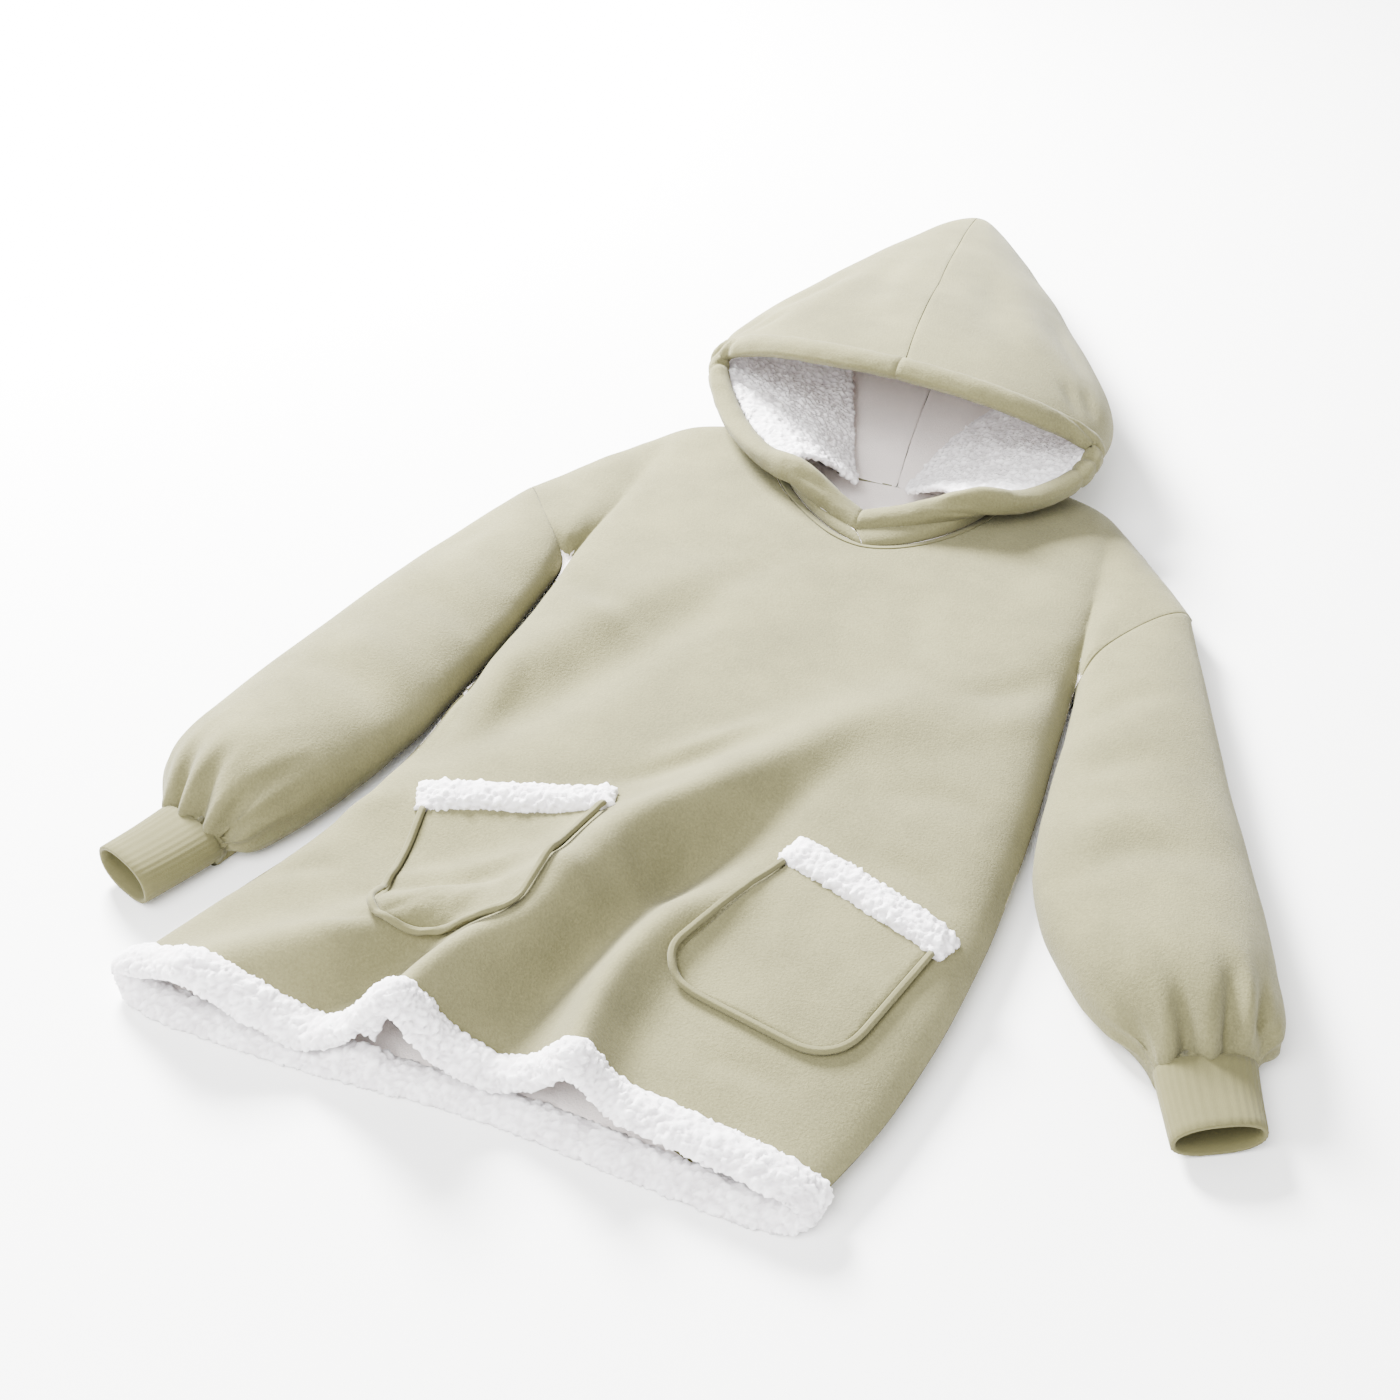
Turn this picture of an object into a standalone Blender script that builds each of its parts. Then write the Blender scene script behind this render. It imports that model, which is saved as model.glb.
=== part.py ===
"""Wearable blanket hoodie lying on its back, still softly filled with air.

Units are metres, +Z is up.  The garment lies along Y: the hem is at -Y and the
hood at +Y.  Left and right are the wearer's, so the right sleeve is at -X.
The whole outside is first drawn as one net of points.  Each cut panel is a set
of cells of that net, given the thickness of the cloth and parted at its seams.
"""
import itertools
import math

import bmesh
import bpy
import numpy as np
from mathutils import Vector
from mathutils.bvhtree import BVHTree

# Thicknesses and gaps
CLOTH = 0.004            # brushed fleece with its sherpa backing
TIGHT_SHARE = 0.3        # of the cloth, at the underarms and the ends of the neckline
TIGHT_REACH = 0.060
SAME_POINT = 0.00002     # points this close are one
CUFF_CLOTH = 0.0035
POCKET_CLOTH = 0.003
SEAM_GAP = 0.0006        # between the edges of two sewn panels
LAID_GAP = 0.0004        # under what lies on a panel

# Bands, rolls and facings
BAND_GAP = 0.0006        # between a panel's edge and the band sewn to it
HEM_BAND_WIDTH = 0.032
HEM_BAND_THICK = 0.017
RIM_WIDTH = 0.026
RIM_THICK = 0.021
BINDING_WIDTH = 0.008
BINDING_RISE = 0.001
FACING_THICK = 0.005
PIPING_RADIUS = 0.0038
TRIM_WIDTH = 0.030
TRIM_RISE = 0.012
TRIM_OVERHANG = 0.006    # past the pocket at each end

# Heights of the folded edges over the surface that the garment lies on
SIDE_FOLD = 0.022
SHOULDER_FOLD = 0.030
SLEEVE_FOLD = 0.028

# Widths over which a panel turns down to its folded edge
SIDE_ROUND = 0.055
SHOULDER_ROUND = 0.045
UNDERARM_ROUND = 0.060
BACK_ROUND = 0.032
WING_HEIGHT = 0.052      # top of the cloth over the drop shoulder

# Height of the front over the surface, from hem to neck: columns y, z
CHEST_LEVEL = ((-0.56, 0.037), (-0.45, 0.043), (-0.30, 0.049), (-0.10, 0.053),
               (0.10, 0.056), (0.25, 0.053), (0.36, 0.050), (0.48, 0.047))

# Height of the valley between body and drop shoulder: columns y, z
CREASE_LEVEL = ((0.131, 0.022), (0.160, 0.034), (0.210, 0.041), (0.480, 0.043))

# Main folds of the front: a path over the panel, with columns x, y, rise, half width
FOLDS = {
    "long_ridge": ((0.250, 0.030, 0.004, 0.045), (0.187, -0.040, 0.014, 0.042),
                   (0.115, -0.168, 0.030, 0.040), (0.052, -0.270, 0.040, 0.036),
                   (0.022, -0.345, 0.036, 0.034)),
    "ridge_to_corner": ((0.000, -0.385, 0.022, 0.034), (-0.062, -0.425, 0.034, 0.033),
                        (-0.130, -0.480, 0.029, 0.034), (-0.212, -0.545, 0.022, 0.036)),
    "crest_over_hem": ((0.068, -0.335, 0.020, 0.032), (0.030, -0.410, 0.036, 0.030),
                       (-0.012, -0.475, 0.050, 0.030), (-0.034, -0.560, 0.054, 0.029)),
    "small_crest": ((0.160, -0.290, 0.006, 0.024), (0.125, -0.350, 0.020, 0.024),
                    (0.110, -0.420, 0.028, 0.024), (0.112, -0.490, 0.034, 0.024),
                    (0.126, -0.560, 0.034, 0.024)),
    "long_trough": ((0.196, -0.060, -0.004, 0.024), (0.158, -0.150, -0.012, 0.024),
                    (0.120, -0.245, -0.020, 0.026), (0.086, -0.330, -0.024, 0.024),
                    (0.062, -0.410, -0.020, 0.024), (0.052, -0.480, -0.012, 0.022),
                    (0.054, -0.560, -0.008, 0.022)),
    "corner_trough": ((-0.046, -0.455, -0.006, 0.020), (-0.092, -0.510, -0.012, 0.022),
                      (-0.116, -0.560, -0.010, 0.024)),
    "chest_trough": ((-0.176, -0.215, -0.010, 0.032), (-0.106, -0.097, -0.012, 0.034),
                     (-0.039, 0.052, -0.007, 0.036)),
    "chest_ridge": ((-0.196, -0.130, 0.007, 0.030), (-0.140, -0.020, 0.008, 0.034),
                    (-0.070, 0.120, 0.005, 0.038)),
    "pocket_hollow": ((-0.160, -0.350, -0.006, 0.040), (-0.075, -0.345, -0.008, 0.045)),
}

# Plan of the body: columns x, y, from the hem up
SIDE = {
    "right": ((-0.290, -0.530), (-0.262, -0.447), (-0.236, -0.371), (-0.216, -0.300),
              (-0.210, -0.200), (-0.205, -0.070), (-0.206, 0.050), (-0.2125, 0.131)),
    "left": ((0.336, -0.540), (0.351, -0.490), (0.361, -0.435), (0.371, -0.330),
             (0.373, -0.207), (0.366, -0.080), (0.355, 0.040), (0.346, 0.131)),
}
CREASE = {
    "right": ((-0.2125, 0.131), (-0.203, 0.180), (-0.198, 0.240), (-0.201, 0.330),
              (-0.208, 0.424)),
    "left": ((0.346, 0.131), (0.338, 0.190), (0.331, 0.251), (0.319, 0.350), (0.305, 0.436)),
}
# From the armhole to the fold of the drop shoulder, then on to the neck
SHOULDER_OUTER = {
    "right": ((-0.308, 0.238), (-0.283, 0.285), (-0.258, 0.336), (-0.232, 0.385),
              (-0.208, 0.424)),
    "left": ((0.430, 0.283), (0.399, 0.324), (0.367, 0.364), (0.336, 0.402), (0.305, 0.436)),
}
SHOULDER_INNER = {
    "right": ((-0.208, 0.424), (-0.172, 0.448), (-0.130, 0.461), (-0.085, 0.468)),
    "left": ((0.305, 0.436), (0.272, 0.455), (0.235, 0.466), (0.195, 0.470)),
}
ARMHOLE = {
    "right": ((-0.2125, 0.131), (-0.233, 0.150), (-0.257, 0.176), (-0.283, 0.208),
              (-0.308, 0.238)),
    "left": ((0.346, 0.131), (0.363, 0.180), (0.384, 0.221), (0.407, 0.256), (0.430, 0.283)),
}
NECK_FRONT = {
    "right": ((0.080, 0.250), (0.045, 0.262), (0.010, 0.288), (-0.020, 0.316),
              (-0.045, 0.346), (-0.064, 0.378), (-0.077, 0.410), (-0.084, 0.440),
              (-0.085, 0.468)),
    "left": ((0.080, 0.250), (0.115, 0.264), (0.144, 0.290), (0.165, 0.318), (0.180, 0.348),
             (0.190, 0.380), (0.196, 0.411), (0.197, 0.441), (0.195, 0.470)),
}
NECK_BACK = {
    "right": ((0.055, 0.447), (-0.010, 0.451), (-0.050, 0.459), (-0.085, 0.468)),
    "left": ((0.055, 0.447), (0.120, 0.451), (0.160, 0.460), (0.195, 0.470)),
}
HEM_FRONT = ((-0.290, -0.530), (-0.230, -0.541), (-0.150, -0.545), (-0.050, -0.535),
             (0.060, -0.524), (0.140, -0.520), (0.220, -0.528), (0.300, -0.538),
             (0.336, -0.540))
HEM_BACK = ((-0.290, -0.530), (-0.250, -0.546), (-0.100, -0.546), (0.050, -0.536),
            (0.200, -0.546), (0.300, -0.550), (0.336, -0.540))

# Where the net's lines cross the hem and the two folded sides
FRONT_STATIONS = (-0.290, -0.281, -0.262, -0.235, -0.200, -0.165, -0.130, -0.104, -0.080,
                  -0.058, -0.034, -0.010, 0.012, 0.034, 0.057, 0.082, 0.103, 0.125, 0.147,
                  0.170, 0.205, 0.250, 0.292, 0.322, 0.336)
BACK_STATIONS = (-0.290, -0.281, -0.264, -0.240, -0.200, -0.150, -0.105, -0.040, 0.023,
                 0.090, 0.150, 0.205, 0.250, 0.286, 0.310, 0.327, 0.336)
SIDE_ROWS = (0.0, 0.035, 0.08, 0.13, 0.19, 0.25, 0.32, 0.39, 0.47, 0.56, 0.66, 0.77, 0.89, 1.0)
YOKE_ROWS = (0.0, 0.13, 0.28, 0.44, 0.60, 0.75, 0.87, 0.95, 1.0)
SHOULDER_STEPS = (0.0, 0.09, 0.26, 0.60)
NECK_STEPS = 8
NECK_SPREAD = 0.3        # how far the wall at the neckline turns to the outside
WING_STEPS = (0.0, 0.2, 0.4, 0.6, 0.8, 1.0)

# Sleeves: columns inner x, inner y, outer x, outer y, height of the top
SLEEVE = {
    "right": ((-0.2110, 0.085, -0.325, 0.190, 0.058), (-0.2080, 0.020, -0.346, 0.110, 0.064),
              (-0.2075, -0.060, -0.366, 0.020, 0.068), (-0.2105, -0.140, -0.383, -0.070, 0.072),
              (-0.2160, -0.215, -0.397, -0.160, 0.077), (-0.2310, -0.275, -0.405, -0.230, 0.083),
              (-0.2460, -0.320, -0.408, -0.285, 0.087), (-0.2580, -0.350, -0.405, -0.325, 0.082),
              (-0.2760, -0.376, -0.394, -0.350, 0.068)),
    "left": ((0.3545, 0.070, 0.450, 0.225, 0.060), (0.3615, 0.000, 0.478, 0.150, 0.067),
             (0.3680, -0.075, 0.506, 0.072, 0.071), (0.3770, -0.145, 0.536, -0.005, 0.075),
             (0.3970, -0.205, 0.566, -0.080, 0.079), (0.4250, -0.245, 0.592, -0.148, 0.084),
             (0.4540, -0.276, 0.611, -0.205, 0.087), (0.4820, -0.299, 0.620, -0.245, 0.081),
             (0.5120, -0.315, 0.620, -0.270, 0.066)),
}
GATHER_DEPTH = (0, 0, 0, 0, 0, 0, 0.012, 0.030, 0.050, 0.045)
COARSE_RINGS = 6         # rings with half the points, next to the armhole
ARM_POINTS = len(YOKE_ROWS) - 1

# Ribbed cuffs: columns inner x, inner y, outer x, outer y, height of the top
CUFF = {
    "right": ((-0.2980, -0.3975, -0.3770, -0.3732, 0.044), (-0.3120, -0.4360, -0.3850, -0.4100, 0.045),
              (-0.3270, -0.4740, -0.3950, -0.4480, 0.048)),
    "left": ((0.5330, -0.3280, 0.6110, -0.2900, 0.040), (0.5480, -0.3610, 0.6220, -0.3240, 0.036),
             (0.5640, -0.3960, 0.6330, -0.3560, 0.037)),
}
CUFF_RIBS = 32
RIB_RISE = 0.0009

# Hood: the edge that the roll is sewn to, from the front of the neck to the top
LIP_EDGE = {
    "right": ((0.066, 0.268, 0.060), (0.026, 0.282, 0.064), (-0.013, 0.305, 0.066),
              (-0.050, 0.334, 0.067), (-0.085, 0.367, 0.067), (-0.117, 0.403, 0.068),
              (-0.147, 0.441, 0.071), (-0.173, 0.475, 0.077), (-0.190, 0.505, 0.088)),
    "left": ((0.066, 0.268, 0.060), (0.107, 0.282, 0.064), (0.144, 0.303, 0.066),
             (0.178, 0.329, 0.067), (0.208, 0.359, 0.067), (0.233, 0.391, 0.068),
             (0.254, 0.423, 0.071), (0.268, 0.454, 0.076), (0.274, 0.482, 0.086)),
}
TOP_EDGE = {
    "right": ((-0.190, 0.505, 0.088), (-0.184, 0.510, 0.107), (-0.155, 0.500, 0.126),
              (-0.108, 0.484, 0.143), (-0.058, 0.470, 0.153), (-0.004, 0.460, 0.159),
              (0.052, 0.456, 0.161)),
    "left": ((0.274, 0.482, 0.086), (0.267, 0.484, 0.103), (0.240, 0.474, 0.121),
             (0.200, 0.461, 0.139), (0.155, 0.454, 0.152), (0.105, 0.453, 0.159),
             (0.052, 0.456, 0.161)),
}
# Where the hood turns over behind the shoulder, from the neck to the corner
TURN_EDGE = {
    "right": ((-0.085, 0.468, 0.030), (-0.120, 0.490, 0.047), (-0.163, 0.501, 0.060),
              (-0.190, 0.505, 0.088)),
    "left": ((0.195, 0.470, 0.030), (0.221, 0.486, 0.047), (0.254, 0.488, 0.060),
             (0.274, 0.482, 0.086)),
}
# Sections of the hood: columns y, centre x, half width, height, height of the side
HOOD_SECTIONS = ((0.548, 0.037, 0.247, 0.161, 0.062), (0.620, 0.028, 0.221, 0.156, 0.060),
                 (0.695, 0.018, 0.189, 0.147, 0.057), (0.770, 0.008, 0.156, 0.136, 0.053),
                 (0.845, -0.003, 0.121, 0.123, 0.049), (0.915, -0.012, 0.085, 0.110, 0.045),
                 (0.972, -0.019, 0.052, 0.097, 0.042), (1.008, -0.024, 0.024, 0.082, 0.040))
HOOD_TIP = (-0.026, 1.022, 0.058)
HOOD_FLAT = 0.80         # share of the half width that lies flat
BOTTOM_STEPS = 3
TURN_STEPS = 3
TOP_STEPS = 6

# Sherpa facing inside the hood: its free edge, and the place that the sheet bends
# towards on the way there, one row for each point of the hood's edge: columns x, y, z twice
FACING_EDGE = {
    "right": ((0.022, 0.404, 0.026, -0.022, 0.380, 0.080),
              (0.008, 0.436, 0.015, -0.046, 0.406, 0.079), (-0.006, 0.470, 0.013, -0.070, 0.440, 0.078),
              (-0.020, 0.508, 0.013, -0.094, 0.480, 0.079), (-0.036, 0.552, 0.013, -0.130, 0.520, 0.070),
              (-0.052, 0.596, 0.013, -0.180, 0.560, 0.044), (-0.066, 0.632, 0.013, -0.222, 0.604, 0.050),
              (-0.078, 0.664, 0.014, -0.238, 0.636, 0.084)),
    "left": ((0.074, 0.404, 0.026, 0.142, 0.372, 0.080),
             (0.072, 0.436, 0.015, 0.158, 0.400, 0.079), (0.074, 0.470, 0.013, 0.176, 0.434, 0.078),
             (0.078, 0.508, 0.013, 0.194, 0.474, 0.079), (0.084, 0.548, 0.013, 0.220, 0.508, 0.070),
             (0.092, 0.586, 0.013, 0.256, 0.540, 0.044), (0.102, 0.620, 0.013, 0.284, 0.588, 0.048),
             (0.112, 0.652, 0.014, 0.294, 0.624, 0.080)),
}
FACING_ROWS = 5
FACING_CLEAR = 0.0020
FACING_FIRST = 3         # point of the hood's edge where the facing begins
FACING_TILT = 1.0

# Pockets: corners as x, y
POCKETS = {
    "left": {"top_inner": (0.184, -0.243), "top_outer": (0.337, -0.298),
             "low_outer": (0.304, -0.445), "low_inner": (0.130, -0.409)},
    "right": {"top_inner": (0.012, -0.248), "top_outer": (-0.143, -0.302),
              "low_outer": (-0.110, -0.470), "low_inner": (0.010, -0.440)},
}
POCKET_CORNER = 0.042

SIGN = {"right": -1.0, "left": 1.0}

# Colours as linear red, green, blue, with roughness
FINISHES = {
    "fleece": ((0.560, 0.545, 0.400), 0.95),
    "rib_knit": ((0.470, 0.440, 0.260), 0.90),
    "sherpa": ((0.870, 0.855, 0.870), 1.00),
    "binding": ((0.500, 0.485, 0.350), 0.92),
}


def smooth_path(points, count=64):
    """Points on a smooth curve through the rows given, evenly spaced along it."""
    rows = np.asarray(points, dtype=float)
    before = 2 * rows[0] - rows[1]
    after = 2 * rows[-1] - rows[-2]
    knots = np.vstack([before, rows, after])
    dense = []
    for k in range(1, len(knots) - 2):
        a, b, c, d = knots[k - 1:k + 3]
        for t in np.linspace(0.0, 1.0, 16, endpoint=False):
            dense.append(0.5 * (2 * b + (c - a) * t + (2 * a - 5 * b + 4 * c - d) * t ** 2
                                + (3 * b - a - 3 * c + d) * t ** 3))
    dense.append(rows[-1])
    return at_shares(np.array(dense), np.linspace(0.0, 1.0, count))


def at_shares(line, shares):
    """Points of a line at the given shares of its length."""
    line = np.asarray(line, dtype=float)
    steps = np.linalg.norm(np.diff(line, axis=0), axis=1)
    run = np.concatenate([[0.0], np.cumsum(steps)])
    return np.column_stack([np.interp(np.asarray(shares) * run[-1], run, line[:, k])
                            for k in range(line.shape[1])])


def profile(table, at):
    """A smooth curve through a table of two columns, read at some values."""
    dense = smooth_path(table, 96)
    return np.interp(at, dense[:, 0], dense[:, 1])


def nearest(line, x, y):
    """Distance from places to a line in plan, and the index of the nearest place on it."""
    x = np.asarray(x, dtype=float)
    y = np.asarray(y, dtype=float)
    best = np.full(x.shape, 1e9)
    where = np.zeros(x.shape)
    for k in range(len(line) - 1):
        ax, ay = line[k][:2]
        bx, by = line[k + 1][:2]
        length = (bx - ax) ** 2 + (by - ay) ** 2
        t = np.clip(((x - ax) * (bx - ax) + (y - ay) * (by - ay)) / max(length, 1e-12), 0, 1)
        gap = np.hypot(x - ax - t * (bx - ax), y - ay - t * (by - ay))
        closer = gap < best
        best = np.where(closer, gap, best)
        where = np.where(closer, k + t, where)
    return best, where


def turn(distance, width):
    """Rise of a rounded edge: 0 at the edge, 1 from the given width inward."""
    t = np.clip(np.asarray(distance) / width, 0.0, 1.0)
    return np.sqrt(1.0 - (1.0 - t) ** 2)


def fold_rise(x, y):
    """Height that the main folds add to the front."""
    total = np.zeros(np.shape(x))
    for rows in FOLDS.values():
        line = smooth_path(rows, 40)
        gap, where = nearest(line, x, y)
        steps = np.arange(len(line))
        rise = np.interp(where, steps, line[:, 2])
        width = np.interp(where, steps, line[:, 3])
        total = total + rise * np.exp(-(gap / width) ** 2)
    return total


def beside(line, distance):
    """A line in plan moved sideways, to the left of its direction."""
    line = np.asarray(line, dtype=float)
    ways = np.diff(line, axis=0)
    ways = ways / np.linalg.norm(ways, axis=1)[:, None]
    left = np.column_stack([-ways[:, 1], ways[:, 0]])
    moved = []
    for k in range(len(line)):
        total = left[max(k - 1, 0)] + left[min(k, len(left) - 1)]
        moved.append(line[k] + total * 2 * distance / np.dot(total, total))
    return np.array(moved)


def side_lines(table):
    """The same table's two sides as smooth lines."""
    return {side: smooth_path(table[side]) for side in SIGN}


SIDE_LINE = side_lines(SIDE)
CREASE_LINE = side_lines(CREASE)
SHOULDER_LINE = {side: np.vstack([smooth_path(SHOULDER_OUTER[side]),
                                  smooth_path(SHOULDER_INNER[side])[1:]]) for side in SIGN}
EDGE_LINE = {side: np.vstack([SIDE_LINE[side], CREASE_LINE[side][1:]]) for side in SIGN}


def crease_level(y):
    """Height of the body's edge: its side seam, then the valley above the underarm."""
    underarm = CREASE_LEVEL[0][0]
    return np.where(np.asarray(y) <= underarm, SIDE_FOLD, profile(CREASE_LEVEL, y))


def shoulder_turn(x, y, z):
    """Lower a height towards the folded shoulders."""
    for side in SIGN:
        gap, _ = nearest(SHOULDER_LINE[side], x, y)
        z = SHOULDER_FOLD + (z - SHOULDER_FOLD) * turn(gap, SHOULDER_ROUND)
    return z


def front_height(x, y):
    """Height of the front between its two side edges."""
    z = profile(CHEST_LEVEL, y) + fold_rise(x, y)
    for side in SIGN:
        gap, _ = nearest(EDGE_LINE[side], x, y)
        edge = crease_level(y)
        z = edge + (z - edge) * turn(gap, SIDE_ROUND)
    return shoulder_turn(x, y, z)


def wing_height(side, x, y, across):
    """Height of the drop shoulder, from the crease (0) to the armhole (1)."""
    underarm = ARMHOLE[side][0]
    edge = crease_level(y)
    swell = turn(np.hypot(x - underarm[0], y - underarm[1]), UNDERARM_ROUND)
    share = np.sin(np.clip(across * 1.6, 0, 1) * math.pi / 2)
    return shoulder_turn(x, y, edge + (WING_HEIGHT - edge) * share * swell)


def back_height(x, y):
    """Height of the back's outside: flat on the surface, and turned up at the folds."""
    z = np.zeros(np.shape(x))
    for side in SIGN:
        gap, _ = nearest(SIDE_LINE[side], x, y)
        z = np.maximum(z, SIDE_FOLD * (1 - turn(gap, BACK_ROUND)))
        gap, _ = nearest(SHOULDER_LINE[side], x, y)
        z = np.maximum(z, SHOULDER_FOLD * (1 - turn(gap, BACK_ROUND)))
    return z


def coons(bottom, top, first, last, across, along):
    """Fill a four-sided patch between its border rows and columns."""
    grid = np.zeros((len(along), len(across), 2))
    for j, r in enumerate(along):
        for i, s in enumerate(across):
            grid[j, i] = ((1 - r) * bottom[i] + r * top[i] + (1 - s) * first[j] + s * last[j]
                          - (1 - r) * ((1 - s) * bottom[0] + s * bottom[-1])
                          - r * ((1 - s) * top[0] + s * top[-1]))
    return grid


def body_edge(side):
    """Plan of one edge of the body: side seam up to the underarm, then the crease."""
    return np.vstack([at_shares(SIDE_LINE[side], SIDE_ROWS),
                      at_shares(CREASE_LINE[side], YOKE_ROWS)[1:]])


def hem_points(line, stations):
    """Places on a hem line at the given x."""
    dense = smooth_path(line, 120)
    return np.column_stack([stations, np.interp(stations, dense[:, 0], dense[:, 1])])


def neck_points(neck, steps):
    """Plan of a neckline, from its right end to its left end."""
    shares = np.linspace(0.0, 1.0, steps + 1)
    right = at_shares(smooth_path(neck["right"]), shares)[::-1]
    return np.vstack([right[:-1], at_shares(smooth_path(neck["left"]), shares)])


def shoulder_points(side, to_neck):
    """Plan of a shoulder up to the binding, and on to the neck if asked."""
    line = smooth_path(SHOULDER_INNER[side])
    length = np.linalg.norm(np.diff(line, axis=0), axis=1).sum()
    steps = list(SHOULDER_STEPS) + [1 - BINDING_WIDTH / length] + ([1.0] if to_neck else [])
    return at_shares(line, steps)


def front_top():
    """Plan of the front's top edge: shoulder, lower edge of the binding, shoulder."""
    right, left = shoulder_points("right", False), shoulder_points("left", False)
    under = beside(neck_points(NECK_FRONT, NECK_STEPS), -BINDING_WIDTH)
    return np.vstack([right, under[1:-1], left[::-1]])


def back_top():
    """Plan of the back's top edge: shoulder, neckline, shoulder."""
    right, left = shoulder_points("right", True), shoulder_points("left", True)
    return np.vstack([right, neck_points(NECK_BACK, BOTTOM_STEPS)[1:-1], left[::-1]])


def row_shares():
    """How far each row of the body's net is from hem to top."""
    yoke_start = 0.69
    return np.concatenate([np.array(SIDE_ROWS) * yoke_start,
                           yoke_start + np.array(YOKE_ROWS[1:]) * (1 - yoke_start)])


def body_plan(hem, stations, top):
    """Plan of a body panel between its two edges."""
    bottom = hem_points(hem, stations)
    width = stations[-1] - stations[0]
    across = (np.array(stations) - stations[0]) / width
    grid = coons(bottom, top, body_edge("right"), body_edge("left"), across, row_shares())
    return grid


def wing_plan(side):
    """Plan of a drop shoulder, from the crease out to the armhole."""
    underarm = np.array([ARMHOLE[side][0]] * len(WING_STEPS))
    shoulder = at_shares(smooth_path(SHOULDER_OUTER[side])[::-1], WING_STEPS)
    crease = at_shares(CREASE_LINE[side], YOKE_ROWS)
    armhole = at_shares(smooth_path(ARMHOLE[side]), YOKE_ROWS)
    return coons(underarm, shoulder, crease, armhole, WING_STEPS, YOKE_ROWS)


def lift(plan, height):
    """Give a plan its heights."""
    return np.dstack([plan, height(plan[..., 0], plan[..., 1])])


def sleeve_ring(row, points):
    """A closed section of a sleeve, from its inner fold over the top and back below."""
    inner = np.array(row[:2])
    outer = np.array(row[2:4])
    fold = min(SLEEVE_FOLD, row[4] / 2)
    ring = []
    for i in range(2 * points):
        angle = math.pi * i / points
        share = (1 - math.cos(angle)) / 2
        place = inner + (outer - inner) * share
        lift_by = abs(math.sin(angle))
        if i <= points:
            z = fold + (row[4] - fold) * lift_by ** 0.9
        else:
            z = fold * (1 - min(1.0, 1.55 * lift_by))
        ring.append((place[0], place[1], max(z, 0.0)))
    return np.array(ring)


def gathered(ring, depth):
    """Alternate points of a ring drawn in and out, where it doesn't lie flat."""
    centre = ring.mean(axis=0)
    result = ring.copy()
    for i, point in enumerate(ring):
        if point[2] > 0.6 * SLEEVE_FOLD:
            result[i] = centre + (point - centre) * (1 + depth * (1 if i % 2 else -1))
    return result


def hood_section(row):
    """Half a section of the hood, from the middle below, round the side, to the top."""
    y, centre, half, height, side_height = row
    half_points = []
    for j in range(BOTTOM_STEPS):
        half_points.append((HOOD_FLAT * half * j / BOTTOM_STEPS, 0.0))
    for j in range(TURN_STEPS):
        angle = math.pi / 2 * j / TURN_STEPS
        half_points.append((half * (HOOD_FLAT + (1 - HOOD_FLAT) * math.sin(angle)),
                            side_height * (1 - math.cos(angle))))
    for j in range(TOP_STEPS + 1):
        angle = math.pi / 2 * j / TOP_STEPS
        half_points.append((half * math.cos(angle) ** 0.92,
                            side_height + (height - side_height) * math.sin(angle) ** 0.92))
    return {side: np.array([(centre + SIGN[side] * x, y, z) for x, z in half_points])
            for side in SIGN}


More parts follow.
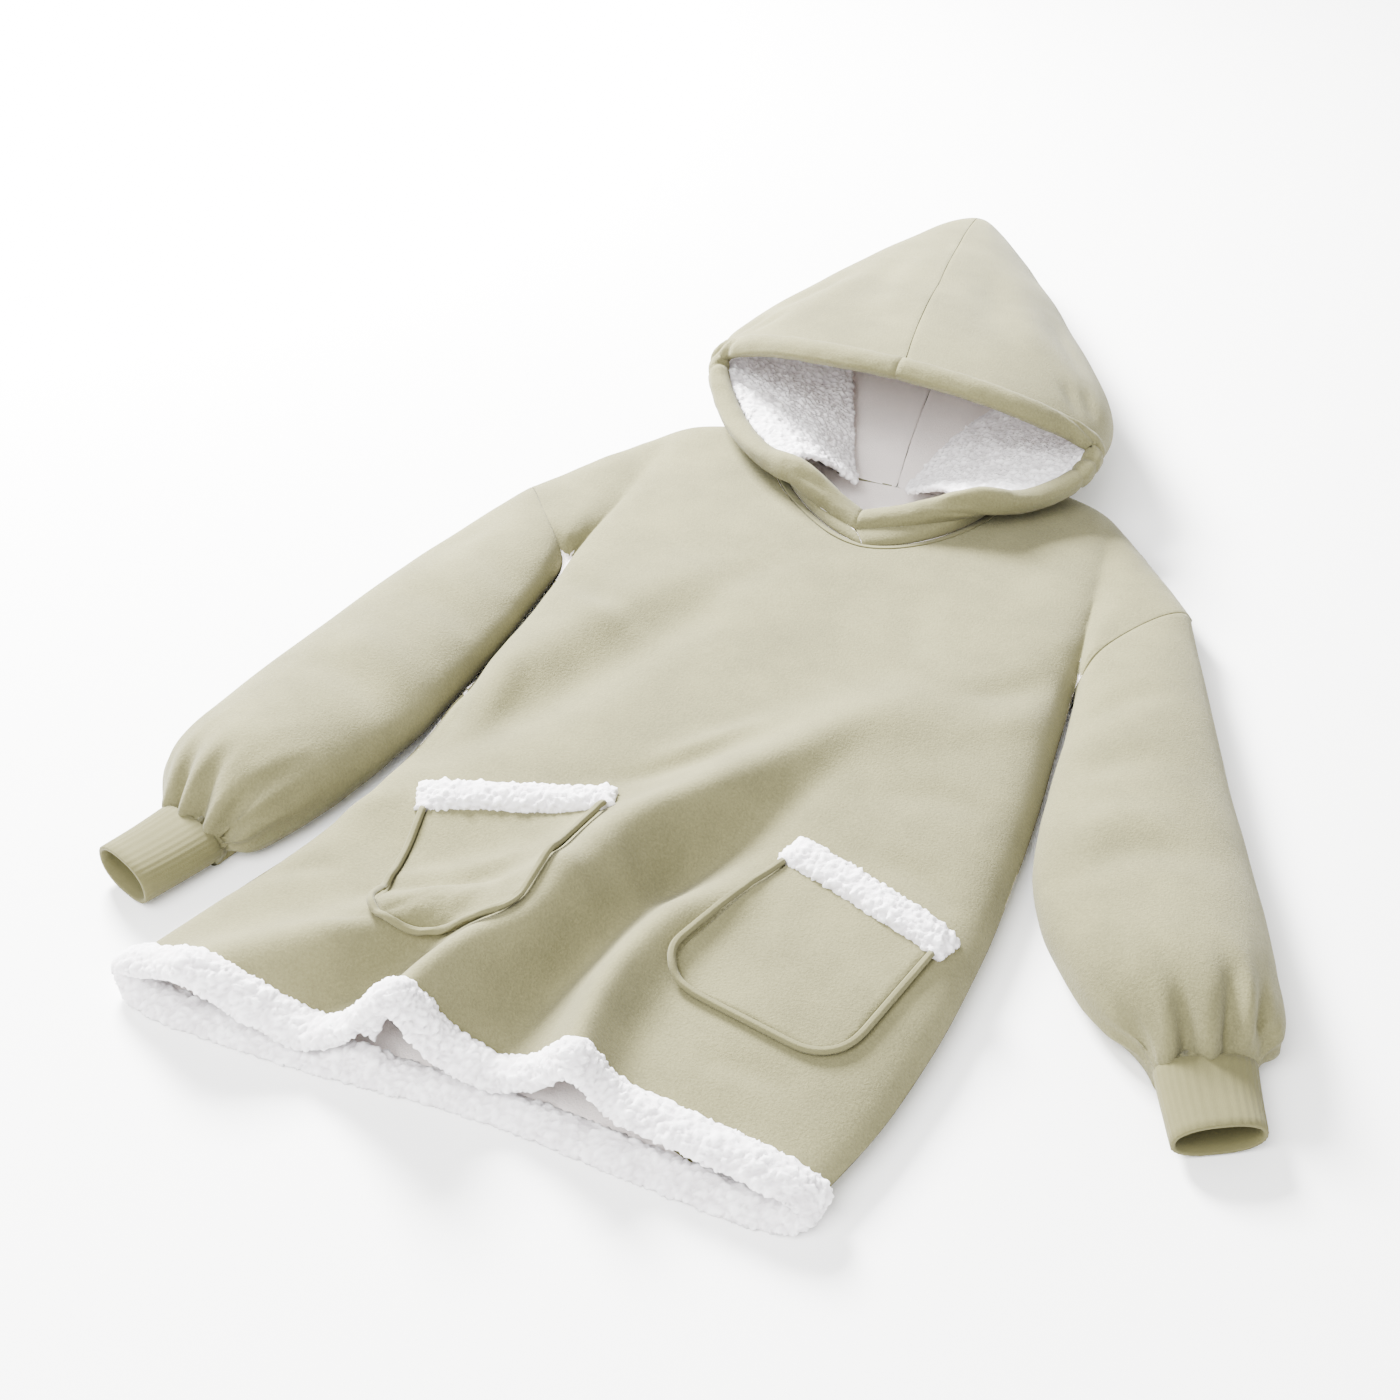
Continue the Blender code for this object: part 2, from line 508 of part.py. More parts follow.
class Net:
    """The garment's outside as cells of a shared net of points."""

    def __init__(self):
        self.points = []
        self.cells = []
        self.known = {}

    def place(self, point):
        """Index of a point, shared with any point already there."""
        box = [int(round(c / SAME_POINT)) for c in point]
        for step in itertools.product((0, -1, 1), repeat=3):
            found = self.known.get(tuple(b + s for b, s in zip(box, step)))
            if found is not None:
                return found
        self.points.append(tuple(float(c) for c in point))
        self.known[tuple(box)] = len(self.points) - 1
        return len(self.points) - 1

    def cell(self, panel, corners, label, height=None):
        """Add a cell as triangles, leaving out corners that coincide."""
        ring = []
        for corner in corners:
            if corner not in ring:
                ring.append(corner)
        if len(ring) == 4:
            a, b, c, d = (np.array(self.points[k]) for k in ring)
            first, second = (a + c) / 2, (b + d) / 2
            if height:
                first_error = abs(first[2] - height(first[0], first[1]))
                second_error = abs(second[2] - height(second[0], second[1]))
            else:
                first_error = np.linalg.norm(a - c)
                second_error = np.linalg.norm(b - d)
            if first_error > second_error:
                ring = ring[1:] + ring[:1]
            self.cells.append((panel, (ring[0], ring[1], ring[2]), label))
            self.cells.append((panel, (ring[0], ring[2], ring[3]), label))
        elif len(ring) == 3:
            self.cells.append((panel, tuple(ring), label))

    def grid(self, grid, panel_of, patch, flip=False, closed=False, height=None):
        """Add a grid of points; panel_of(row, column) names each cell's panel."""
        index = [[self.place(p) for p in row] for row in grid]
        columns = len(index[0]) if closed else len(index[0]) - 1
        for j in range(len(index) - 1):
            for i in range(columns):
                n = (i + 1) % len(index[0])
                corners = [index[j][i], index[j][n], index[j + 1][n], index[j + 1][i]]
                if flip:
                    corners.reverse()
                self.cell(panel_of(j, i), corners, (patch, j, i), height)
        return index

    def split_ring(self, panel, coarse, fine, patch, flip):
        """Join a closed ring to one with twice as many points."""
        a = [self.place(p) for p in coarse]
        b = [self.place(p) for p in fine]
        for i in range(len(a)):
            n = (i + 1) % len(a)
            m = (2 * i + 2) % len(b)
            parts = [[a[i], b[2 * i + 1], b[2 * i]], [a[i], a[n], b[2 * i + 1]],
                     [a[n], b[m], b[2 * i + 1]]]
            for corners in parts:
                if flip:
                    corners.reverse()
                self.cell(panel, corners, (patch, 0, i))

    def finish(self):
        """Work out the outward direction at every point."""
        self.co = np.array(self.points)
        normals = np.zeros_like(self.co)
        self.cell_normal = []
        for _, ring, _ in self.cells:
            corners = self.co[list(ring)]
            normal = np.zeros(3)
            for k in range(len(ring)):
                normal += np.cross(corners[k] - corners[0], corners[(k + 1) % len(ring)] - corners[0])
            self.cell_normal.append(normal / max(np.linalg.norm(normal), 1e-12))
            for corner in ring:
                normals[corner] += normal
        self.normal = normals / np.maximum(np.linalg.norm(normals, axis=1), 1e-12)[:, None]
        self.room = np.ones(len(self.co))

    def ease_normals(self, line):
        """Even out the outward direction along a line of points, but not at its ends."""
        for _ in range(3):
            before = self.normal[line].copy()
            for i in range(1, len(line) - 1):
                total = before[i - 1] + 2 * before[i] + before[i + 1]
                self.normal[line[i]] = total / np.linalg.norm(total)

    def thin_at(self, places):
        """Note how much of the cloth's thickness each point has room for."""
        gap = np.min([np.linalg.norm(self.co - np.array(p), axis=1) for p in places], axis=0)
        self.room = TIGHT_SHARE + (1 - TIGHT_SHARE) * np.minimum(gap / TIGHT_REACH, 1.0)

    def find(self, points):
        """Indices of points of the net nearest to the points given."""
        return [int(np.argmin(((self.co - np.asarray(p)) ** 2).sum(axis=1))) for p in points]

    def border(self, chosen):
        """Border edges of a set of cells, with the direction into the set at each point."""
        count = {}
        for c in chosen:
            ring = self.cells[c][1]
            for k in range(len(ring)):
                a, b = ring[k], ring[(k + 1) % len(ring)]
                count.setdefault((min(a, b), max(a, b)), []).append((a, b, c))
        edges = [uses[0] for uses in count.values() if len(uses) == 1]
        inward = {}
        for a, b, c in edges:
            along = self.co[b] - self.co[a]
            along = along / np.linalg.norm(along)
            into = np.cross(self.cell_normal[c], along)
            for point in (a, b):
                inward.setdefault(point, []).append(into)
        pull = {}
        for point, ways in inward.items():
            total = np.sum(ways, axis=0)
            size = float(np.dot(total, total))
            pull[point] = total * len(ways) / max(size, 0.35 * len(ways) ** 2)
        return edges, pull


def arm_loop(side, wing_front, wing_back):
    """The armhole as a closed ring: over the front, and back along the back."""
    front = wing_front[:, -1]
    back = wing_back[::-1, -1]
    return np.vstack([front, back[1:-1]])


def build_net():
    """Draw the whole outside, and note the lines that bands are sewn to."""
    net = Net()
    lines = {}
    front = lift(body_plan(HEM_FRONT, FRONT_STATIONS, front_top()), front_height)
    back = lift(body_plan(HEM_BACK, BACK_STATIONS, back_top()), back_height)
    neck = neck_points(NECK_FRONT, NECK_STEPS)
    neck = lift(neck[None], front_height)[0]
    first_neck = len(SHOULDER_STEPS)
    strip = np.array([front[-1, first_neck:len(FRONT_STATIONS) - first_neck], neck])
    net.grid(front, lambda j, i: "body_front", "front", height=front_height)
    net.grid(strip, lambda j, i: "neck_binding", "binding")
    net.grid(back, lambda j, i: "body_back", "back", flip=True)
    lines["hem"] = list(front[0]) + list(back[0][::-1][1:-1])

    for side in SIGN:
        mirrored = side == "right"
        plan = wing_plan(side)
        across = np.tile(np.array(WING_STEPS), (len(plan), 1))
        heights = wing_height(side, plan[..., 0], plan[..., 1], across)
        wing_front = np.dstack([plan, heights])
        wing_back = lift(plan, back_height)
        wing_back[0, :, 2] = SIDE_FOLD
        net.grid(wing_front, lambda j, i: "body_front", "wing_front_" + side, flip=mirrored)
        net.grid(wing_back, lambda j, i: "body_back", "wing_back_" + side, flip=not mirrored)
        add_sleeve(net, lines, side, arm_loop(side, wing_front, wing_back))
    add_hood(net, lines, neck, back)
    net.finish()
    net.thin_at([(*ARMHOLE[side][0], SIDE_FOLD) for side in SIGN] + [neck[0], neck[-1]])
    for side in SIGN:
        net.normal[net.find([(*ARMHOLE[side][0], SIDE_FOLD)])[0]] = (0.0, -1.0, 0.0)
    outward = beside(neck[:, :2], -1.0) - neck[:, :2]
    for k, way in zip(net.find(neck), outward):
        total = np.array([way[0], way[1], 0.0]) * NECK_SPREAD
        for part in ("binding", "lip_right", "lip_left"):
            near = [net.cell_normal[c] for c, cell in enumerate(net.cells)
                    if cell[2][0] == part and k in cell[1]]
            if near:
                total = total + np.mean(near, axis=0)
        net.normal[k] = total / np.linalg.norm(total)
    net.normal[net.find(neck[:1])[0]] = (-0.95, 0.30, 0.0)
    net.normal[net.find(neck[-1:])[0]] = (0.95, 0.30, 0.0)
    for side in SIGN:
        net.ease_normals(net.find(lines["rim_" + side]))
        row = CUFF[side][0]
        along = np.array([row[3] - row[1], row[0] - row[2], 0.0])
        along = along / np.linalg.norm(along)
        for k in net.find(lines["wrist_" + side]):
            flat = net.normal[k] - along * np.dot(net.normal[k], along)
            net.normal[k] = flat / np.linalg.norm(flat)
    return net, lines


def add_sleeve(net, lines, side, armhole):
    """A sleeve from the armhole to the gathers at the wrist."""
    flip = side == "left"
    panel = "sleeve_" + side
    rings = [armhole] + [sleeve_ring(row, ARM_POINTS) for row in SLEEVE[side][:COARSE_RINGS]]
    net.grid(rings, lambda j, i: panel, panel + "_upper", flip=flip, closed=True)
    rows = SLEEVE[side] + (CUFF[side][0],)
    fine = [gathered(sleeve_ring(rows[k], 2 * ARM_POINTS), GATHER_DEPTH[k])
            for k in range(COARSE_RINGS, len(rows))]
    net.split_ring(panel, rings[-1], fine[0], panel + "_split", flip)
    net.grid(fine, lambda j, i: panel, panel + "_lower", flip=flip, closed=True)
    lines["wrist_" + side] = fine[-1]


def add_hood(net, lines, neckline, back):
    """The hood's two halves: the lip over the shoulder, and the pouch behind it."""
    middle_back = (len(BACK_STATIONS) - 1) // 2
    tip = np.array(HOOD_TIP)
    for side in SIGN:
        way = 1 if side == "left" else -1
        flip = side == "left"
        panel = "hood_" + side
        steps = NECK_STEPS
        neck = np.array([neckline[steps + way * k] for k in range(steps + 1)])
        edge = np.array(LIP_EDGE[side])
        turned = np.array(TURN_EDGE[side])
        turned[0] = neck[-1]
        lip = np.zeros((TURN_STEPS + 1, steps + 1, 3))
        for j in range(TURN_STEPS + 1):
            v = j / TURN_STEPS
            for i in range(steps + 1):
                u = i / steps
                share = np.array([1 - math.cos(v * math.pi / 2)] * 2 + [math.sin(v * math.pi / 2)])
                straight = neck[i] + (edge[i] - neck[i]) * share
                end = neck[-1] + (edge[-1] - neck[-1]) * share
                lip[j, i] = straight + (turned[j] - end) * u ** 6
        net.grid(lip, lambda j, i: panel, "lip_" + side, flip=not flip)
        bottom = [back[-1, middle_back + way * k] for k in range(BOTTOM_STEPS + 1)]
        mouth = np.vstack([bottom, turned[1:], np.array(TOP_EDGE[side])[1:]])
        rings = [mouth] + [hood_section(row)[side] for row in HOOD_SECTIONS]
        rings.append(np.array([tip] * len(mouth)))
        net.grid(rings, lambda j, i: panel, "pouch_" + side, flip=flip)
        lines["rim_" + side] = list(edge) + list(np.array(TOP_EDGE[side])[1:])


def finish_object(bm, name, finish, smooth=True):
    """Make an object of a closed bmesh, with its finish."""
    bmesh.ops.triangulate(bm, faces=bm.faces)
    if bm.calc_volume(signed=True) < 0:
        bmesh.ops.reverse_faces(bm, faces=bm.faces)
    mesh = bpy.data.meshes.new(name)
    bm.to_mesh(mesh)
    bm.free()
    if smooth:
        mesh.shade_smooth()
        mesh.set_sharp_from_angle(angle=math.radians(50))
    mesh.materials.append(material(finish))
    piece = bpy.data.objects.new(name, mesh)
    bpy.context.scene.collection.objects.link(piece)
    return piece


def material(name):
    """The named finish, made once."""
    known = bpy.data.materials.get(name)
    if known:
        return known
    colour, roughness = FINISHES[name]
    made = bpy.data.materials.new(name)
    made.use_nodes = True
    shader = made.node_tree.nodes["Principled BSDF"]
    shader.inputs["Base Color"].default_value = (*colour, 1.0)
    shader.inputs["Roughness"].default_value = roughness
    shader.inputs["Metallic"].default_value = 0.0
    return made


def wall(net, name, chosen, finish, near, far, gap=SEAM_GAP / 2):
    """A panel: a set of cells given a wall from near to far below the outside."""
    bm = bmesh.new()
    edges, pull = net.border(chosen)
    upper = {}
    lower = {}
    for c in chosen:
        for point in net.cells[c][1]:
            if point in upper:
                continue
            base = net.co[point] + pull.get(point, np.zeros(3)) * gap
            upper[point] = bm.verts.new(base - net.normal[point] * near)
            lower[point] = bm.verts.new(base - net.normal[point] * far * net.room[point])
    for c in chosen:
        ring = net.cells[c][1]
        bm.faces.new([upper[p] for p in ring])
        bm.faces.new([lower[p] for p in reversed(ring)])
    for a, b, _ in edges:
        if a < b:
            bm.faces.new([upper[b], upper[a], lower[b]])
            bm.faces.new([upper[a], lower[a], lower[b]])
        else:
            bm.faces.new([upper[b], upper[a], lower[a]])
            bm.faces.new([upper[b], lower[a], lower[b]])
    return finish_object(bm, name, finish)


def cells_of(net, panel):
    """Cells that belong to a panel."""
    return [c for c, cell in enumerate(net.cells) if cell[0] == panel]


def band(net, name, line, finish, width, thick, closed, everything, ends=0.0):
    """A rolled band sewn along a free edge of the net."""
    _, pull = net.border(everything)
    stations = []
    for k in net.find(line):
        depth = CLOTH * net.room[k] / 2
        out = net.normal[k] * np.dot(net.normal[k], pull[k]) - pull[k]
        stations.append((net.co[k] - net.normal[k] * depth, out, net.normal[k]))
    half = thick / 2
    shape = ((BAND_GAP, CLOTH / 4), (0.22 * width, 0.86 * half), (0.50 * width, half),
             (0.80 * width, 0.72 * half), (width, 0.0), (0.80 * width, -0.72 * half),
             (0.50 * width, -half), (0.22 * width, -0.86 * half), (BAND_GAP, -CLOTH / 4))
    bm = bmesh.new()
    rings = []
    for k, (middle, out, normal) in enumerate(stations):
        shift = np.zeros(3)
        if not closed and k in (0, len(stations) - 1):
            inside = stations[1][0] if k == 0 else stations[-2][0]
            way = inside - middle
            shift = way / np.linalg.norm(way) * ends
        ring = []
        for a, b in shape:
            p = middle + out * a + normal * b + shift
            ring.append(bm.verts.new((p[0], p[1], max(p[2], 0.0))))
        rings.append(ring)
    count = len(rings)
    for k in range(count if closed else count - 1):
        a, b = rings[k], rings[(k + 1) % count]
        for i in range(len(shape)):
            n = (i + 1) % len(shape)
            bm.faces.new([a[i], a[n], b[n], b[i]])
    if not closed:
        bm.faces.new(rings[0][::-1])
        bm.faces.new(rings[-1])
    return finish_object(bm, name, finish)


def cuff_ring(row, inset, ribbed):
    """A section of a cuff; ribs stand out of its outer line."""
    inner = np.array(row[:2])
    outer = np.array(row[2:4])
    width = np.linalg.norm(outer - inner)
    along = (outer - inner) / width
    centre = (inner + outer) / 2
    points = 2 * CUFF_RIBS
    ring = []
    for i in range(points):
        angle = 2 * math.pi * i / points
        rise = RIB_RISE if ribbed and i % 2 else 0.0
        a = (width / 2 - inset + rise) * math.copysign(abs(math.cos(angle)) ** 0.85, math.cos(angle))
        b = (row[4] / 2 - inset + rise) * math.copysign(abs(math.sin(angle)) ** 0.85, math.sin(angle))
        z = max(row[4] / 2 + b, inset)
        ring.append((centre[0] + along[0] * a, centre[1] + along[1] * a, z))
    return ring


def cuff(side):
    """A ribbed tube, open at the hand."""
    bm = bmesh.new()
    rows = [np.array(row) for row in CUFF[side]]
    across = rows[0][2:4] - rows[0][:2]
    onward = np.array([across[1], -across[0]]) / np.linalg.norm(across)
    if np.dot(onward, rows[1][:2] - rows[0][:2]) < 0:
        onward = -onward
    rows[0][:4] += np.concatenate([onward, onward]) * SEAM_GAP
    outside = [[bm.verts.new(p) for p in cuff_ring(row, RIB_RISE, True)] for row in rows]
    inside = [[bm.verts.new(p) for p in cuff_ring(row, RIB_RISE + CUFF_CLOTH, False)]
              for row in rows]
    loops = outside + inside[::-1]
    count = len(loops[0])
    for k in range(len(loops)):
        a, b = loops[k], loops[(k + 1) % len(loops)]
        for i in range(count):
            n = (i + 1) % count
            bm.faces.new([a[i], a[n], b[n], b[i]])
    return finish_object(bm, "cuff_" + side, "rib_knit")


def rounded_outline(pocket, inset=0.0):
    """The pocket's side, lower edge and other side, with round lower corners."""
    corners = [Vector(pocket[k]) for k in ("top_inner", "low_inner", "low_outer", "top_outer")]
    line = [corners[0]]
    for k in (1, 2):
        before, here, after = corners[k - 1], corners[k], corners[k + 1]
        start = here + (before - here).normalized() * POCKET_CORNER
        end = here + (after - here).normalized() * POCKET_CORNER
        for step in range(5):
            t = step / 4
            line.append(start.lerp(here, t).lerp(here.lerp(end, t), t))
    line.append(corners[3])
    inward = inset if (corners[1] - corners[0]).cross(corners[2] - corners[1]) > 0 else -inset
    return [Vector(p) for p in beside(line, inward)]


def cut_patch(net, chosen, outline):
    """The outside's cells within a convex outline, cut along it."""
    bm = bmesh.new()
    made = {}
    for c in chosen:
        ring = net.cells[c][1]
        for point in ring:
            if point not in made:
                made[point] = bm.verts.new(net.co[point])
        bm.faces.new([made[p] for p in ring])
    bmesh.ops.triangulate(bm, faces=bm.faces)
    centre = sum((Vector(p) for p in outline), Vector((0.0, 0.0))) / len(outline)
    for k in range(len(outline)):
        a, b = Vector(outline[k]), Vector(outline[(k + 1) % len(outline)])
        side = Vector((b.y - a.y, a.x - b.x))
        if side.dot(centre - a) > 0:
            side = -side
        geometry = bm.verts[:] + bm.edges[:] + bm.faces[:]
        bmesh.ops.bisect_plane(bm, geom=geometry, dist=1e-7, plane_co=(a.x, a.y, 0.0),
                               plane_no=(side.x, side.y, 0.0), clear_outer=True)
    bmesh.ops.remove_doubles(bm, verts=bm.verts, dist=0.0004)
    bmesh.ops.dissolve_degenerate(bm, edges=bm.edges, dist=0.0002)
    bm.normal_update()
    return bm


def thicken(bm, name, finish, near, rise):
    """Make a solid of a patch: its underside near above it, its top raised by rise(x, y)."""
    bm.verts.ensure_lookup_table()
    bm.faces.ensure_lookup_table()
    solid = bmesh.new()
    lower = []
    upper = []
    for v in bm.verts:
        lower.append(solid.verts.new(v.co + Vector((0, 0, near))))
        upper.append(solid.verts.new(v.co + Vector((0, 0, near + rise(v.co.x, v.co.y)))))
    for face in bm.faces:
        solid.faces.new([upper[v.index] for v in face.verts])
        solid.faces.new([lower[v.index] for v in reversed(face.verts)])
    for edge in bm.edges:
        if len(edge.link_faces) == 1:
            loop = edge.link_loops[0]
            a, b = loop.vert.index, loop.link_loop_next.vert.index
            solid.faces.new([upper[b], upper[a], lower[a], lower[b]])
    bm.free()
    return finish_object(solid, name, finish)


def add_pocket(net, side):
    """A patch pocket with piping round it and a sherpa band along its mouth."""
    pocket = POCKETS[side]
    chosen = [c for c, cell in enumerate(net.cells) if cell[2][0] == "front"]
    inner, outer = Vector(pocket["top_inner"]), Vector(pocket["top_outer"])
    along = (outer - inner).normalized()
    low = (Vector(pocket["low_inner"]) + Vector(pocket["low_outer"])) / 2
    down = Vector((along.y, -along.x))
    if down.dot(low - inner) < 0:
        down = -down
    half_trim = TRIM_WIDTH / 2
    clear = LAID_GAP + 0.0002

    outline = rounded_outline(pocket, inset=PIPING_RADIUS + clear)
    for end, beyond in ((0, 1), (-1, -2)):
        way = outline[beyond] - outline[end]
        need = clear - (outline[end] - inner).dot(down)
        outline[end] = outline[end] + way * (need / way.dot(down))
    patch = cut_patch(net, chosen, outline)
    thicken(patch, "pocket_" + side, "fleece", LAID_GAP, lambda x, y: POCKET_CLOTH)

    start = inner - along * TRIM_OVERHANG - down * half_trim
    end = outer + along * TRIM_OVERHANG - down * half_trim
    middle = (start + end) / 2
    half_length = (end - start).length / 2
    for_cut = half_trim - clear
    trim_corners = [start - down * for_cut, end - down * for_cut, end + down * for_cut,
                    start + down * for_cut]

    def trim_rise(x, y):
        off = Vector((x, y)) - middle
        across = min(1.0, abs(off.dot(down)) / half_trim)
        length = min(1.0, abs(off.dot(along)) / half_length)
        end_share = min(1.0, (1 - length) * half_length / half_trim)
        dome = math.sqrt(max(0.0, 1 - across ** 2)) * math.sqrt(1 - (1 - end_share) ** 2)
        return TRIM_RISE * (0.25 + 0.75 * dome)

    trim = cut_patch(net, chosen, trim_corners)
    for share in (-0.55, 0.0, 0.55):
        at = middle + down * half_trim * share
        geometry = trim.verts[:] + trim.edges[:] + trim.faces[:]
        bmesh.ops.bisect_plane(trim, geom=geometry, dist=1e-7, plane_co=(at.x, at.y, 0.0),
                               plane_no=(down.x, down.y, 0.0))
    bmesh.ops.remove_doubles(trim, verts=trim.verts, dist=0.0004)
    trim.normal_update()
    thicken(trim, "pocket_trim_" + side, "sherpa", LAID_GAP, trim_rise)
    add_piping(net, side, chosen, pocket, down * 3 * clear)


def add_piping(net, side, chosen, pocket, drop):
    """The round piping along a pocket's sides and lower edge."""
    corners = [Vector(p) for p in net.points]
    tree = BVHTree.FromPolygons(corners, [net.cells[c][1] for c in chosen])

    def surface(x, y):
        hit = tree.ray_cast(Vector((x, y, 0.5)), Vector((0, 0, -1)))
        return hit[0].z

    outline = rounded_outline(pocket)
    outline[0] = outline[0] + drop
    outline[-1] = outline[-1] + drop
    path = smooth_path([tuple(p) for p in outline], 30)
    bm = bmesh.new()
    rings = []
    sides = 6
    for k, place in enumerate(path):
        way = path[min(k + 1, len(path) - 1)] - path[max(k - 1, 0)]
        way = way / np.linalg.norm(way)
        across = np.array([way[1], -way[0]])
        heights = [surface(*(place + across * a + way * b)) for a in (-0.004, 0.0, 0.004)
                   for b in (-0.006, 0.0, 0.006)]
        z = max(heights) + LAID_GAP + PIPING_RADIUS
        ring = []
        for i in range(sides):
            angle = 2 * math.pi * i / sides
            flat = place + across * PIPING_RADIUS * math.cos(angle)
            ring.append(bm.verts.new((flat[0], flat[1], z + PIPING_RADIUS * math.sin(angle))))
        rings.append(ring)
    for a, b in zip(rings, rings[1:]):
        for i in range(sides):
            n = (i + 1) % sides
            bm.faces.new([a[i], a[n], b[n], b[i]])
    bm.faces.new(rings[0][::-1])
    bm.faces.new(rings[-1])
    finish_object(bm, "pocket_piping_" + side, "binding")


def add_facing(net, side, rim):
    """The sherpa facing: a sheet from the hood's edge to its own free edge inside."""
    sheet = Net()
    grid = np.zeros((FACING_ROWS, len(FACING_EDGE[side]), 3))
    starts = net.find(rim[FACING_FIRST:FACING_FIRST + len(FACING_EDGE[side])])
    inward = beside(np.array(rim)[:, :2], SIGN[side]) - np.array(rim)[:, :2]
    depth = CLOTH + FACING_THICK / 2 + FACING_CLEAR
    for i, (row, k) in enumerate(zip(FACING_EDGE[side], starts)):
        share = min(max((i + FACING_FIRST - 6) / 2, 0.0), 1.0)
        flat = inward[i + FACING_FIRST] / np.linalg.norm(inward[i + FACING_FIRST])
        way = -net.normal[k] * share + np.array([flat[0], flat[1], FACING_TILT]) * (1 - share)
        room = depth + FACING_CLEAR * max(5 - i - FACING_FIRST, 0)
        start = net.co[k] + way / np.linalg.norm(way) * room
        end = np.array(row[:3])
        control = np.array(row[3:])
        for j in range(FACING_ROWS):
            t = j / (FACING_ROWS - 1)
            grid[j, i] = (1 - t) ** 2 * start + 2 * t * (1 - t) * control + t ** 2 * end
    sheet.grid(grid, lambda j, i: "facing", "facing", flip=side == "left")
    sheet.finish()
    wall(sheet, "hood_facing_" + side, range(len(sheet.cells)), "sherpa",
         -FACING_THICK / 2, FACING_THICK / 2, gap=SEAM_GAP / 2)


def centre_on_origin():
    """Move every piece so that the origin is under the middle of the whole."""
    pieces = [p for p in bpy.data.objects if p.type == "MESH"]
    corners = np.array([v.co[:] for p in pieces for v in p.data.vertices])
    low, high = corners.min(axis=0), corners.max(axis=0)
    shift = -(low + high) / 2
    shift[2] = -low[2]
    for piece in pieces:
        for v in piece.data.vertices:
            v.co = v.co + Vector(shift)
    return shift


def main():
    for old in list(bpy.data.objects):
        bpy.data.objects.remove(old, do_unlink=True)
    net, lines = build_net()
    everything = range(len(net.cells))
    panels = ["body_front", "body_back"]
    for side in SIGN:
        panels += ["sleeve_" + side, "hood_" + side]
    for panel in panels:
        wall(net, panel, cells_of(net, panel), "fleece", 0.0, CLOTH)
    wall(net, "neck_binding", cells_of(net, "neck_binding"), "binding", -BINDING_RISE, CLOTH,
         gap=SEAM_GAP)
    band(net, "hem_band", lines["hem"], "sherpa", HEM_BAND_WIDTH, HEM_BAND_THICK, True, everything)
    for side in SIGN:
        band(net, "hood_rim_" + side, lines["rim_" + side], "fleece", RIM_WIDTH, RIM_THICK,
             False, everything, SEAM_GAP / 2)
        add_facing(net, side, lines["rim_" + side])
        cuff(side)
        add_pocket(net, side)
    return centre_on_origin()


main()
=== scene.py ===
"""Looks of a wearable blanket hoodie that lies on its back on a pale floor.

Every piece is a fine copy of its solid: smoothed, given its folds, gathers and pile,
and finished as brushed fleece, rib knit, sherpa or binding.  Units are metres.
"""
import math

import bmesh
import bpy
import numpy as np
from bpy.props import FloatProperty, FloatVectorProperty, PointerProperty
from mathutils import Matrix, Vector, noise
from mathutils.bvhtree import BVHTree
from mathutils.kdtree import KDTree


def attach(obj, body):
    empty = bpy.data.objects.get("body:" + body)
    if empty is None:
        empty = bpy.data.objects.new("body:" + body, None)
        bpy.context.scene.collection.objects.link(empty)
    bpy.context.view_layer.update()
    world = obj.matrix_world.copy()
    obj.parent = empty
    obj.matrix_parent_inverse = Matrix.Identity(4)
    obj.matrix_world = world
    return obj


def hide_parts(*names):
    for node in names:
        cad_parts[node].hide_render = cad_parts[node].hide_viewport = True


bl_info = {
    "name": "Blanket hoodie",
    "version": (1, 0, 0),
    "blender": (4, 5, 0),
    "location": "View3D > Sidebar > Hoodie",
    "description": "Dresses the solids of a wearable blanket hoodie",
    "category": "Object",
}

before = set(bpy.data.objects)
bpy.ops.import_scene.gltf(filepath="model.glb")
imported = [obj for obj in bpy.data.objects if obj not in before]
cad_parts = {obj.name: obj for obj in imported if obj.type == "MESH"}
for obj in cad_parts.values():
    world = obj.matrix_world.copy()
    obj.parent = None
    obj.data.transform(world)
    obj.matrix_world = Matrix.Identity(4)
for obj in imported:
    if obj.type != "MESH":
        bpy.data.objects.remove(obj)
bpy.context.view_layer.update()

# Where the pattern's own origin lies in the frame
PATTERN = (-0.1127, -0.2199)

